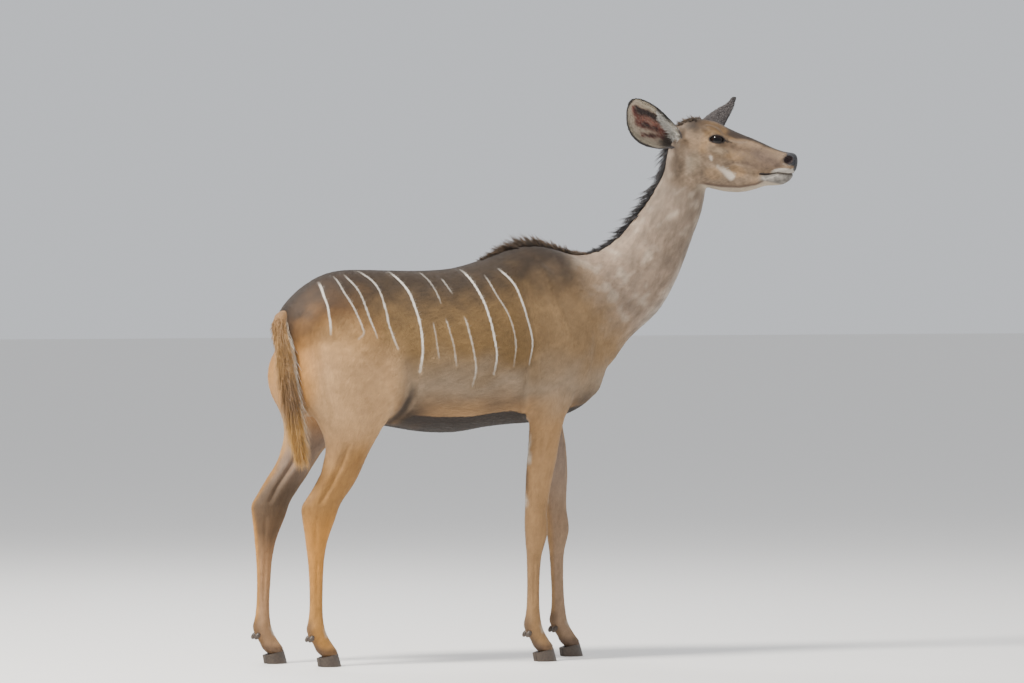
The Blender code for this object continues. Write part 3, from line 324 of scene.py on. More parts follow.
legSwing = {  # how far each leg is swung along x, by height
    "hindleg_right": [(0.05, 0.0), (0.95, 0.0)],
    "hindleg_left": [(0.05, -0.097), (0.20, -0.096), (0.30, -0.093), (0.45, -0.087), (0.53, -0.088),
                     (0.58, -0.078), (0.63, -0.064), (0.66, -0.050), (0.72, -0.024), (0.80, 0.0)],
    "foreleg_right": [(0.05, 0.0), (0.95, 0.0)],
    "foreleg_left": [(0.05, 0.168), (0.40, 0.150), (0.55, 0.133), (0.65, 0.108), (0.76, 0.065),
                     (0.85, 0.020), (0.90, 0.0)],
}
sides = {"right": -1, "left": 1}
muscles = {  # centre, radii, tilt in degrees, on both sides
    "haunch": ((-0.360, 0.086, 0.965), (0.135, 0.062, 0.125), 18),
    "hip bone": ((-0.240, 0.086, 1.092), (0.060, 0.027, 0.030), 10),
    "thigh": ((-0.360, 0.108, 0.850), (0.128, 0.064, 0.135), -12),
    "buttock": ((-0.444, 0.074, 0.880), (0.056, 0.056, 0.150), 4),
    "stifle": ((-0.255, 0.114, 0.770), (0.048, 0.046, 0.070), -25),
    "shoulder blade": ((0.335, 0.066, 1.035), (0.085, 0.058, 0.165), -24),
    "shoulder point": ((0.410, 0.080, 0.888), (0.062, 0.058, 0.075), 0),
    "upper arm": ((0.320, 0.100, 0.868), (0.112, 0.052, 0.085), 28),
    "breast": ((0.445, 0.034, 0.850), (0.066, 0.050, 0.072), -20),
}
headForms = {
    "brow": ((0.066, 0.040, 0.068), (0.036, 0.022, 0.020), 14),
    "orbit": ((0.083, 0.036, 0.047), (0.038, 0.024, 0.027), 4),
    "cheek bone": ((0.085, 0.047, 0.020), (0.048, 0.015, 0.016), 12),
    "chewing muscle": ((0.035, 0.038, -0.040), (0.045, 0.018, 0.042), 20),
    "ear root": ((-0.036, 0.042, 0.040), (0.026, 0.022, 0.030), 0),
    "nose wing": ((0.300, 0.019, 0.034), (0.024, 0.013, 0.019), 18),
    "upper lip": ((0.292, 0.016, 0.001), (0.034, 0.0140, 0.0105), -14),
    "lower lip": ((0.295, 0.0115, -0.0240), (0.028, 0.0125, 0.0145), -14),
}
hockCord = [(0.640, -0.402, 0.020), (0.570, -0.417, 0.013), (0.510, -0.451, 0.0115), (0.465, -0.475, 0.014)]

headMatrix = (Matrix.Translation(headPlace) @ Matrix.Rotation(math.radians(headTurn), 4, "Z")
              @ Matrix.Rotation(math.radians(headDip), 4, "Y"))
headTurnOnly = headMatrix.to_3x3()
headForward, headLeft, headUp = (headTurnOnly @ Vector(axis) for axis in ((1, 0, 0), (0, 1, 0), (0, 0, 1)))
intoHead = np.array(headMatrix.inverted())


def inHead(points):
    return points @ intoHead[:3, :3].T + intoHead[:3, 3]


def headShare(points, low=-0.05, high=0.0):
    # 0 on the neck, 1 on the head, blended over the joint behind the jaw
    local = inHead(points)
    return ramp(local[:, 0], low, high) * ramp(local[:, 2], -0.125, -0.098)


def swingAt(leg, z):
    heights, shifts = zip(*legSwing[leg])
    return np.interp(z, heights, shifts)


def neckFrames():
    for napeX, napeZ, throatX, throatZ, y, halfWidth, turn in smoothRows(neckRows):
        angle = math.radians(turn)
        forward = Vector((math.cos(angle), math.sin(angle), 0.0))
        side = Vector((-math.sin(angle), math.cos(angle), 0.0))
        centre = Vector(((napeX + throatX) / 2, y, (napeZ + throatZ) / 2))
        up = forward * ((napeX - throatX) / 2) + Vector((0, 0, (napeZ - throatZ) / 2))
        yield centre, side, up, halfWidth


# sizes of the eyes and the mouth

eyePlan = {
    "place": (0.083, 0.0395, 0.0485), "radius": 0.0232, "lid": 0.0030,
    "halfLength": 0.0212, "upperRise": 0.0118, "lowerDrop": 0.0092, "look": (0.16, 0.98, 0.10),
    "slant": 0.14, "pupil": (0.44, 0.27), "irisHex": "#2b1f1a", "edgeHex": "#0d0908", "ringHex": "#160c08",
    "pupilHex": "#040304",
}
mouthPlan = {
    "line": [(0.2300, -0.0246), (0.2461, -0.0230), (0.2605, -0.0180), (0.2720, -0.0128), (0.2817, -0.0092),
             (0.2969, -0.0076), (0.3123, -0.0066), (0.3267, -0.0024), (0.3370, 0.0027)],
    "depth": 0.0032, "halfWidth": 0.0020,
    "nostril": (0.3065, 0.0350), "nostrilRadii": (0.0165, 0.0110, 0.0125),
}


def eyeAxes(side):
    centre = headMatrix @ Vector((eyePlan["place"][0], side * eyePlan["place"][1], eyePlan["place"][2]))
    lookX, lookY, lookZ = eyePlan["look"]
    out = (headTurnOnly @ Vector((lookX, side * lookY, lookZ))).normalized()
    forward = headTurnOnly @ Vector((1.0, 0.0, eyePlan["slant"]))
    forward = (forward - out * out.dot(forward)).normalized()
    up = out.cross(forward)
    return centre, out, forward, up if up.z > 0 else -up


def onLegOf(points, kind, side):
    # the points on that side of the body and at the end of it where that leg stands
    atRear = points[:, 0] < -0.02
    return (points[:, 1] * side > 0) & (atRear if kind == "hindleg" else ~atRear)


def aroundEye(points, side):
    # the way from the eye's middle to each point, and its reach along the slit, up and outwards
    centre, out, forward, up = eyeAxes(side)
    away = points - np.array(centre)
    return away, away @ np.array(forward), away @ np.array(up), away @ np.array(out)


# skin

skinPlan = {
    "voxel": 0.0036,
    "smoothRounds": 110,
    "heldBack": 0.86,           # share of the smoothing kept out of head and lower legs
    "triangles": 168000,
    "coatDepth": {"body": 0.0022, "lowerLeg": 0.0013, "head": 0.0009},
}


def bodyRings():
    for x, top, bottom, halfWidth, narrowing in smoothRows(trunkRows):
        yield ringPoints(Vector((x, 0.0, (top + bottom) / 2)), Vector((0, 1, 0)), Vector((0, 0, 1)),
                         halfWidth, (top - bottom) / 2, narrowing)


def headRings(rows):
    for forward, top, bottom, halfWidth, narrowing in smoothRows(rows):
        yield ringPoints(headMatrix @ Vector((forward, 0.0, (top + bottom) / 2)), headLeft, headUp,
                         halfWidth, (top - bottom) / 2, narrowing)


def legRings(kind, sideName):
    for z, front, rear, y, halfWidth in smoothRows(legRows[kind]):
        shift = float(swingAt(f"{kind}_{sideName}", z))
        yield ringPoints(Vector(((front + rear) / 2 + shift, sides[sideName] * y, z)), Vector((0, 1, 0)),
                         Vector((1, 0, 0)), halfWidth, (front - rear) / 2, power=2.0)


# folds and edges of muscles pressed into the skin: x and z down the line, half width, depth (a ridge where it
# is below 0), and the leg that the line goes with
creases = {
    "flank fold": ([(-0.150, 0.90), (-0.146, 0.84), (-0.150, 0.79), (-0.165, 0.745), (-0.190, 0.712)],
                   0.017, 0.0150, None),
    "thigh edge": ([(-0.190, 0.93), (-0.192, 0.87), (-0.196, 0.81), (-0.210, 0.76)], 0.022, -0.0055, None),
    "elbow": ([(0.235, 0.93), (0.226, 0.86), (0.226, 0.80), (0.232, 0.76)], 0.016, 0.0085, None),
    "shoulder front": ([(0.470, 1.03), (0.462, 0.95), (0.450, 0.87), (0.425, 0.80)], 0.020, 0.0075, None),
    "shoulder spine": ([(0.292, 1.185), (0.330, 1.07), (0.372, 0.955)], 0.016, -0.0035, None),
    "shoulder back": ([(0.232, 1.16), (0.236, 1.06), (0.236, 0.96)], 0.022, 0.0040, None),
    "buttock line": ([(-0.432, 1.00), (-0.430, 0.92), (-0.418, 0.83), (-0.395, 0.75)], 0.013, 0.0045, None),
    "loin": ([(-0.235, 1.135), (-0.14, 1.125), (-0.02, 1.125)], 0.020, 0.0028, None),
    "shank": ([(-0.352, 0.655), (-0.372, 0.590), (-0.400, 0.530), (-0.425, 0.485)], 0.0085, 0.0090,
              "hindleg"),
    "hock back": ([(-0.440, 0.44), (-0.440, 0.39), (-0.437, 0.35)], 0.006, 0.0030, "hindleg"),
    "hind cannon": ([(-0.4330, 0.33), (-0.4330, 0.25), (-0.4340, 0.17)], 0.0050, 0.0032, "hindleg"),
    "fore cannon": ([(0.2560, 0.32), (0.2560, 0.24), (0.2550, 0.17)], 0.0050, 0.0032, "foreleg"),
    "forearm": ([(0.290, 0.68), (0.280, 0.60), (0.272, 0.53)], 0.010, 0.0035, "foreleg"),
    "knee": ([(0.262, 0.445), (0.258, 0.40), (0.258, 0.365)], 0.008, 0.0030, "foreleg"),
}


faceCreases = [  # forward and up on the side of the head, half width, depth
    ([(0.120, -0.021), (0.151, -0.006), (0.196, -0.003), (0.222, -0.010)], 0.0055, 0.0019),
    ([(0.056, 0.024), (0.080, 0.0185), (0.108, 0.025)], 0.0060, 0.0017),
    ([(0.108, 0.012), (0.160, 0.008)], 0.0085, -0.0018),
    ([(0.118, 0.034), (0.165, 0.034), (0.205, 0.030)], 0.0100, 0.0018),
    ([(0.060, -0.083), (0.121, -0.080), (0.180, -0.070), (0.228, -0.053)], 0.0055, 0.0016),
    ([(0.212, -0.018), (0.224, -0.030), (0.228, -0.044)], 0.0040, 0.0013),
    ([(0.284, 0.047), (0.287, 0.031), (0.296, 0.018)], 0.0036, 0.0016),
    ([(0.270, 0.006), (0.300, 0.0135), (0.318, 0.018)], 0.0034, 0.0012),
    ([(0.006, -0.010), (0.022, -0.045), (0.030, -0.075)], 0.0080, 0.0022),
]


def pressCreases(skin):
    points, normals, _ = meshArrays(skin)
    y = points[:, 1]
    body = headShare(points, -0.10, -0.05) < 0.5
    press = np.zeros(len(points))
    for line, halfWidth, depth, leg in creases.values():
        for sideName, side in sides.items():
            own = (y * side > 0.03) & body & (np.abs(normals[:, 1]) > 0.15)
            chosen = np.flatnonzero(own)
            moved = np.array(line)
            if leg:
                moved[:, 0] += swingAt(f"{leg}_{sideName}", moved[:, 1])
            elif moved[-1, 1] < 0.80 and moved[-1, 0] < 0:
                moved[:, 0] += 0.6 * swingAt(f"hindleg_{sideName}", moved[:, 1] - 0.05)
            gap, share = distanceToLine(points[chosen][:, [0, 2]], moved)
            fading = np.sin(np.pi * np.clip(0.12 + 0.80 * share, 0, 1)) ** 0.7
            strength = np.exp(-(gap / halfWidth) ** 2) * fading
            press[chosen] += depth * strength * ramp(np.abs(normals[chosen, 1]), 0.15, 0.55)
    local = inHead(points)
    facing = np.abs(normals @ np.array(headLeft))
    onFace = headShare(points, -0.03, 0.0) * ramp(facing, 0.15, 0.55)
    for line, halfWidth, depth in faceCreases:
        gap, share = distanceToLine(local[:, [0, 2]], line)
        fading = np.sin(np.pi * np.clip(0.12 + 0.76 * share, 0, 1))
        press += depth * onFace * np.exp(-(gap / halfWidth) ** 2) * fading
    setPoints(skin, points - normals * press[:, None])


def makeSkin():
    bm = bmesh.new()
    addLoft(bm, list(bodyRings()))
    addLoft(bm, [ringPoints(c, s, u, w, 1.0, 0.10) for c, s, u, w in neckFrames()])
    addLoft(bm, list(headRings(skullRows)))
    addLoft(bm, list(headRings(jawRows)))
    for kind in legRows:
        for sideName, side in sides.items():
            addLoft(bm, list(legRings(kind, sideName)))
            if kind == "hindleg":
                addLoft(bm, [ringPoints(
                    Vector((rear + radius + float(swingAt(f"hindleg_{sideName}", z)), side * 0.101, z)),
                    Vector((0, 1, 0)), Vector((1, 0, 0)), radius, radius, count=16)
                    for z, rear, radius in hockCord])
    for name, ((x, y, z), radii, tilt) in muscles.items():
        for sideName, side in sides.items():
            # the muscles over the thigh go back with the leg
            back = float(swingAt(f"hindleg_{sideName}", z - radii[2])) if name in ("stifle", "thigh") else 0.0
            addBall(bm, (x + 0.8 * back, side * y, z), radii, tilt)
    for (x, y, z), radii, tilt in headForms.values():
        for side in sides.values():
            addBall(bm, (x, side * y, z), radii, tilt, headMatrix)
    for side in sides.values():
        lid = eyePlan["radius"] + eyePlan["lid"]
        addBall(bm, eyeAxes(side)[0], (lid, lid, lid))
    skin = objectFrom("skin", bm)
    remesh = skin.modifiers.new("blend", "REMESH")
    remesh.mode = "VOXEL"
    remesh.voxel_size = skinPlan["voxel"]
    applyAll(skin)
    print("skin remeshed:", len(skin.data.polygons))

    points = meshArrays(skin)[0]
    onHead = headShare(points, -0.05, -0.01)
    onLeg = ramp(-points[:, 2], -0.72, -0.56)
    weights = 1.0 - skinPlan["heldBack"] * np.maximum(onHead, onLeg)
    smooth = skin.modifiers.new("smooth", "SMOOTH")
    smooth.factor = 0.5
    smooth.iterations = skinPlan["smoothRounds"]
    smooth.vertex_group = addGroup(skin, "soft", weights, 2)
    applyAll(skin)

    pressCreases(skin)
    # the skin lies under the coat: less on face and feet, where the hair is shortest
    points, normals, _ = meshArrays(skin)
    depths = skinPlan["coatDepth"]
    depth = depths["body"] + (depths["lowerLeg"] - depths["body"]) * ramp(-points[:, 2], -0.70, -0.50)
    depth += (depths["head"] - depth) * onHead
    setPoints(skin, points - normals * depth[:, None])
    print("skin smoothed")
    return skin


skin = makeSkin()


def thinOut(obj, triangles, looseness):
    # the looser a part, the more of its faces go
    loose = addGroup(obj, "loose", looseness(meshArrays(obj)[0]), 1)
    obj.modifiers.new("triangles", "TRIANGULATE")
    applyAll(obj)
    fewer = obj.modifiers.new("fewer", "DECIMATE")
    fewer.ratio = min(1.0, triangles / len(obj.data.polygons))
    fewer.vertex_group = loose
    fewer.vertex_group_factor = 1.0
    applyAll(obj)


# the stripes, on which the skin keeps its fine faces

stripeLines = [  # strength, then x and z down the side
    (0.90, [(-0.400, 1.131), (-0.401, 1.096), (-0.401, 1.043), (-0.400, 0.981)]),
    (0.55, [(-0.354, 1.148), (-0.340, 1.101), (-0.316, 1.043), (-0.300, 0.987), (-0.317, 0.967)]),
    (0.60, [(-0.322, 1.153), (-0.297, 1.107), (-0.280, 1.037), (-0.260, 0.969)]),
    (0.70, [(-0.270, 1.164), (-0.238, 1.125), (-0.225, 1.054), (-0.220, 1.001), (-0.200, 0.937)]),
    (1.00, [(-0.175, 1.161), (-0.149, 1.119), (-0.134, 1.054), (-0.126, 0.978), (-0.127, 0.914),
            (-0.132, 0.869)]),
    (0.35, [(-0.080, 1.161), (-0.063, 1.118), (-0.055, 1.071)]),
    (0.30, [(-0.087, 1.013), (-0.083, 0.954), (-0.079, 0.908)]),
    (0.35, [(-0.027, 1.142), (-0.013, 1.101)]),
    (0.35, [(-0.049, 1.024), (-0.032, 0.942), (-0.025, 0.886)]),
    (0.50, [(0.009, 1.030), (0.022, 0.971), (0.035, 0.879), (0.029, 0.826)]),
    (1.00, [(0.049, 1.167), (0.065, 1.124), (0.084, 1.053), (0.096, 0.976), (0.103, 0.913), (0.094, 0.861)]),
    (0.45, [(0.106, 1.152), (0.125, 1.094), (0.153, 1.035), (0.169, 0.958), (0.160, 0.884)]),
    (0.95, [(0.156, 1.171), (0.191, 1.124), (0.215, 1.035), (0.228, 0.958), (0.216, 0.890)]),
]
stripePlan = {"halfWidth": 0.0030, "sway": 0.0009, "nudge": 0.004, "start": -0.5, "stop": 0.32, "lowest": 0.8}
waveDraw = np.random.default_rng(5)
waveWays = unit(waveDraw.normal(size=(9, 3)))
wavePhases = waveDraw.uniform(0, 6.28, 9)


def wobble(points, wavelength):
    # smooth uneven field of about -1 to 1 with that wavelength in metres
    total = np.zeros(len(points))
    for k, (way, phase) in enumerate(zip(waveWays, wavePhases)):
        stretch = 0.6 + 0.11 * k
        total += np.sin(points @ way * (6.283 * stretch / wavelength) + phase
                        + 1.7 * np.sin(points @ waveWays[k - 4] * (3.9 / wavelength)))
    return total / 4.2


def stripeShares(points):
    # how white each point is, on both sides alike but not quite the same, the gap to a stripe and its way
    x, y, z = points.T
    share = np.zeros(len(points))
    nearest = np.ones(len(points))
    heading = np.zeros((len(points), 3))
    striped = (x > stripePlan["start"]) & (x < stripePlan["stop"]) & (z > stripePlan["lowest"])
    for k, (strength, line) in enumerate(stripeLines):
        for side in sides.values():
            own = np.flatnonzero((y * side > 0.004) & striped)
            if not len(own):
                continue
            spots = points[own]
            nudge = 0.0 if side < 0 else stripePlan["nudge"] * math.sin(1.3 * k)
            curve = np.array(smoothRows(line, 4)) + np.array((nudge, 0.0))
            flat = spots[:, [0, 2]]
            flat[:, 0] += stripePlan["sway"] * wobble(spots, 0.10)
            gap, along = distanceToLine(flat, curve)
            width = stripePlan["halfWidth"] * (0.70 + 0.35 * strength)
            width *= 1 + 0.10 * wobble(spots + 0.3 * k, 0.08)
            edge = ramp(gap, width * 1.20, width * 0.72)
            patchy = np.clip(0.93 + 0.09 * wobble(spots + k, 0.04), 0, 1)
            tapered = ramp(along, 0.0, 0.06) * (1 - 0.85 * ramp(along, 0.80, 1.0))
            share[own] = np.maximum(share[own], edge * strength * patchy * (0.25 + 0.75 * tapered))
            bends = np.gradient(curve, axis=0)
            closer = gap < nearest[own]
            for axis, column in ((0, 0), (2, 1)):
                turned = np.interp(along, np.linspace(0, 1, len(curve)), bends[:, column])
                heading[own[closer], axis] = turned[closer]
            nearest[own] = np.minimum(nearest[own], gap)
    return share, nearest, heading


def whereLoose(points):
    # the head and the edges of the stripes keep their fine faces
    besideStripe = ramp(stripeShares(points)[1], 0.010, 0.006)
    return 1.0 - np.maximum(0.93 * headShare(points, -0.03, 0.02), 0.98 * besideStripe)


thinOut(skin, skinPlan["triangles"], whereLoose)
print("skin thinned:", len(skin.data.polygons))


def ballCutter(centre, radii, turn=None):
    bm = bmesh.new()
    place = Matrix.Translation(centre)
    if turn is not None:
        place = place @ turn
    bmesh.ops.create_uvsphere(bm, u_segments=48, v_segments=28, radius=1.0,
                              matrix=place @ Matrix.Diagonal((*radii, 1.0)))
    return objectFrom("cutter", bm)


def openEyes():
    # sockets for the eyeballs and the almond between the lids
    for side in sides.values():
        centre, out, forward, up = eyeAxes(side)
        room = eyePlan["radius"] + 0.0004
        cutOrJoin(skin, ballCutter(centre, (room, room, room)), "DIFFERENCE")
        bm = bmesh.new()
        rings = []
        for depth in (0.3, 1.8):
            ring = []
            for i in range(36):
                angle = 2 * math.pi * i / 36
                rise = eyePlan["upperRise"] if math.sin(angle) > 0 else eyePlan["lowerDrop"]
                ring.append(centre + out * (eyePlan["radius"] * depth)
                            + forward * (eyePlan["halfLength"] * math.cos(angle))
                            + up * (rise * math.sin(angle)))
            rings.append(ring)
        addLoft(bm, rings)
        cutOrJoin(skin, objectFrom("slit", bm), "DIFFERENCE")


def openNostrils():
    tree = surfaceTree(skin)
    forward, up = mouthPlan["nostril"]
    for side in sides.values():
        start = headMatrix @ Vector((forward, side * 0.2, up))
        place = tree.ray_cast(start, headTurnOnly @ Vector((0, -side, 0)))[0]
        turn = headTurnOnly.to_4x4() @ Matrix.Rotation(side * math.radians(-38), 4, "Z")
        turn = turn @ Matrix.Rotation(math.radians(-30), 4, "Y")
        cutOrJoin(skin, ballCutter(place, mouthPlan["nostrilRadii"], turn), "DIFFERENCE")


openNostrils()
openEyes()


def pressMouth():
    # the line of the lips, pressed into the skin after its faces are split there
    bm = bmesh.new()
    bm.from_mesh(skin.data)
    for _ in range(2):
        points = np.array([v.co for v in bm.verts])
        local = inHead(points)
        gap, _ = distanceToLine(local[:, [0, 2]], mouthPlan["line"])
        near = (gap < 0.006) & (local[:, 0] > 0.215) & (points[:, 2] > 1.40)
        bm.verts.ensure_lookup_table()
        edges = [e for e in bm.edges if near[e.verts[0].index] and near[e.verts[1].index]]
        bmesh.ops.subdivide_edges(bm, edges=edges, cuts=1, use_grid_fill=True)
        bmesh.ops.triangulate(bm, faces=[f for f in bm.faces if len(f.verts) > 3])
        bm.verts.index_update()
    bm.to_mesh(skin.data)
    bm.free()
    points, normals, _ = meshArrays(skin)
    local = inHead(points)
    gap, _ = distanceToLine(local[:, [0, 2]], mouthPlan["line"])
    press = np.exp(-(gap / mouthPlan["halfWidth"]) ** 2) * (local[:, 0] > 0.217) * (points[:, 2] > 1.40)
    press *= mouthPlan["depth"]
    setPoints(skin, points - normals * press[:, None])


pressMouth()
skin.data.shade_smooth()
print("skin finished:", len(skin.data.polygons))


# markings, alike for skin and coat

coatColours = {
    "flank": "#785d38", "shoulder": "#8b6f4d", "rump": "#79532d", "haunch": "#b88f5d", "buttock": "#b27d3e",
    "lowFlank": "#93806b", "belly": "#281f19", "underline": "#241c17", "back": "#2a2019",
    "topShade": "#271d15",
    "neck": "#8f7b69", "throat": "#afa59b", "neckShade": "#77685a", "neckPale": "#b5a694",
    "thigh": "#bb9468", "innerThigh": "#83746a", "hindShank": "#936a38", "hindCannon": "#b98039",
    "innerHock": "#463727", "hindPastern": "#a1743a", "forearm": "#9f7b52", "foreShank": "#93714a",
    "legWhite": "#cfc4b5", "legDark": "#4d3d33", "stripe": "#dfd8cd",
    "face": "#836c54", "cheek": "#7f6c59", "tan": "#9a7a54", "muzzle": "#5c4b40", "greyCheek": "#766856",
    "forehead": "#664d30", "noseBridge": "#2d241f", "poll": "#241b15", "eyeShade": "#5f4c3b",
    "nosePad": "#2c2c30", "padPale": "#4a4b50", "faceWhite": "#c8beb1", "lipGrey": "#69645e",
    "lip": "#251d1b",
    "nostril": "#201011", "eyeRim": "#1b1412", "jawPale": "#a89a87", "jawDark": "#57463a",
    "lipPale": "#aaa399",
}
hind, fore = ("x", -0.06, -0.16), ("x", -0.16, -0.06)
onLeg, onPastern, onTrunk = ("z", 0.74, 0.66), ("z", 0.15, 0.12), ("x", 0.46, 0.36)
onNeck = [("neckWay", -0.07, 0.09), ("z", 0.80, 0.92)]
behindForeleg = [fore, onLeg, ("pastRear", 0.008, 0.001, "fine", 0.002), ("pastRear", -0.035, -0.020)]
# Each mark has a colour, a strength, and the bands that bound it. A band has a measure of the body, where the
# mark starts and where it is full, and in some the uneven field that shifts it, and by how much.
bodyMarks = [
    ("shoulder", 1.0, ("x", 0.16, 0.36, "broad", 0.02)),
    ("rump", 1.0, ("x", -0.20, -0.42, "broad", -0.03)),
    ("lowFlank", 0.85, ("z", 0.95, 0.80, "broad", -0.03), ("x", -0.26, -0.16)),
    # painted shade under the belly, darkest where the skin faces down
    ("belly", 1.0, ("down", 0.10, 0.75), ("z", 0.88, 0.76), ("z", 0.60, 0.66)),
    # a paler oval over the haunch, partly its tawny hair and partly painted light on its swell
    ("haunch", 0.85, ("haunchGap", 1.05, 0.35)),
    ("thigh", 1.0, ("z", 1.00, 0.84), ("x", -0.14, -0.24)),
    ("buttock", 0.8, ("rearEdge", -0.375, -0.47, "broad", -0.02), ("z", 0.50, 0.62)),
    ("neck", 1.0, *onNeck),
    ("throat", 0.7, ("neckWay", 0.02, 0.12), ("throatWay", 0.3, 0.9)),
    ("neckShade", 0.55, *onNeck, ("blotch", 0.0, 0.9, "fine", 0.4)),
    ("neckShade", 0.60, ("neckWay", 0.22, 0.36)),
    ("neckPale", 0.50, *onNeck, ("blotch", -0.1, -0.9, "fine", -0.4)),
    # legs
    ("hindShank", 1.0, hind, ("z", 0.74, 0.56, "broad", -0.02)),
    ("hindCannon", 1.0, hind, ("z", 0.50, 0.38, "broad", -0.01)),
    ("hindPastern", 0.8, hind, ("z", 0.30, 0.12)),
    ("forearm", 1.0, fore, ("z", 0.84, 0.70, "broad", -0.02), ("down", "below", 0.75)),
    ("foreShank", 1.0, fore, ("z", 0.56, 0.40, "broad", -0.015)),
    # the inner sides of the legs painted darker, most at the hock: painted shade between the legs
    ("innerThigh", (0.45, 0.80, ("z", 0.40, 0.60)), ("inward", 0.3, 0.9), onLeg),
    ("innerHock", 0.75, hind, ("inward", 0.1, 0.8), ("z", 0.28, 0.40), ("z", 0.60, 0.50)),
    ("legWhite", 0.9, *behindForeleg, ("z", 0.580, 0.605), ("z", 0.690, 0.665)),
    ("legDark", 0.5, *behindForeleg, ("z", 0.50, 0.53), ("z", 0.585, 0.555)),
    ("legWhite", 0.8, *behindForeleg, ("z", 0.460, 0.470), ("z", 0.496, 0.484)),
    ("legWhite", 0.65, onPastern, ("ahead", 0.30, 0.85, "fine", 0.15), ("pasternGap", 0.018, 0.006)),
    ("legDark", 0.6, onPastern, ("ahead", -0.2, -0.9)),
    ("legDark", 0.65, ("z", 0.066, 0.044, "fine", -0.003)),
    # painted shade over the top of the trunk, partly its darker hair, the dark line down the back, the black
    # underline, and painted shade in the flank fold
    ("topShade", 0.93, ("below", 0.21, 0.02, "blotch", 0.020), onTrunk),
    ("back", 0.9, ("off", 0.055, 0.012, "fine", 0.004), ("below", 0.050, 0.020), onTrunk),
    ("underline", 1.0, ("off", 0.060, 0.026, "fine", 0.01), ("down", 0.5, 0.8), ("z", "below", 0.76),
     ("z", "above", 0.62), ("x", -0.24, -0.18), ("x", 0.42, 0.34)),
    ("belly", 0.8, ("foldGap", 0.016, 0.003), ("foldShare", 0.25, 0.6), ("off", "above", 0.05),
     ("z", "above", 0.70)),
]
# On the face f runs forward, u up and l out from its middle. A line or an oval lies on the side of the head:
# a line has its half width, softness and least l, an oval its middle, half widths and least l.
faceGround = [
    ("cheek", 0.9, ("u", 0.025, -0.025, "fine", -0.008), ("f", 0.24, 0.17)),
    ("tan", 0.35, ("oval", (0.094, -0.052), (0.034, 0.022), 0.015)),
    ("greyCheek", 0.50, ("oval", (0.096, 0.020), (0.042, 0.016), 0.02)),
    ("greyCheek", 0.60, ("oval", (0.030, -0.030), (0.026, 0.040), 0.02)),
    ("tan", 0.50, ("oval", (0.145, 0.012), (0.030, 0.016), 0.015)),
    ("tan", 0.55, ("oval", (0.160, -0.030), (0.036, 0.022), 0.015)),
    ("tan", 0.50, ("line", [(0.050, 0.012), (0.056, 0.058)], 0.010, 0.010, 0.02)),
    ("eyeShade", 0.80, ("line", [(0.104, 0.040), (0.160, 0.036), (0.210, 0.036)], 0.008, 0.008, 0.012)),
    ("muzzle", 0.85, ("line", [(0.215, 0.030), (0.275, 0.014)], 0.020, 0.018, 0.0)),
    ("muzzle", 0.55, ("line", [(0.185, 0.000), (0.245, -0.004)], 0.010, 0.010, 0.012)),
    # painted shade in the crease from the mouth corner back over the cheek
    ("jawDark", 0.75, ("line", [(0.121, -0.021), (0.151, -0.006), (0.196, -0.003), (0.222, -0.010)],
                       0.0016, 0.0040, 0.0)),
    # darker mottling along the nose, the forehead, the poll and the band on top of the nose
    ("muzzle", 0.60, ("rough", -0.1, 0.8), ("f", 0.11, 0.16), ("u", -0.01, 0.02)),
    ("forehead", 0.95, ("u", 0.052, 0.074, "fine", 0.006), ("f", 0.175, 0.125)),
    ("poll", 0.90, ("f", 0.080, 0.000, "fine", -0.012), ("u", 0.030, 0.078, "fine", 0.006)),
    ("noseBridge", 0.90, ("overBand", -0.003, 0.005, "fine", 0.002), ("f", 0.098, 0.118)),
    ("noseBridge", (0.40, 0.80, ("f", 0.05, 0.12)), ("l", 0.020, 0.006, "fine", 0.002), ("u", 0.045, 0.06)),
]
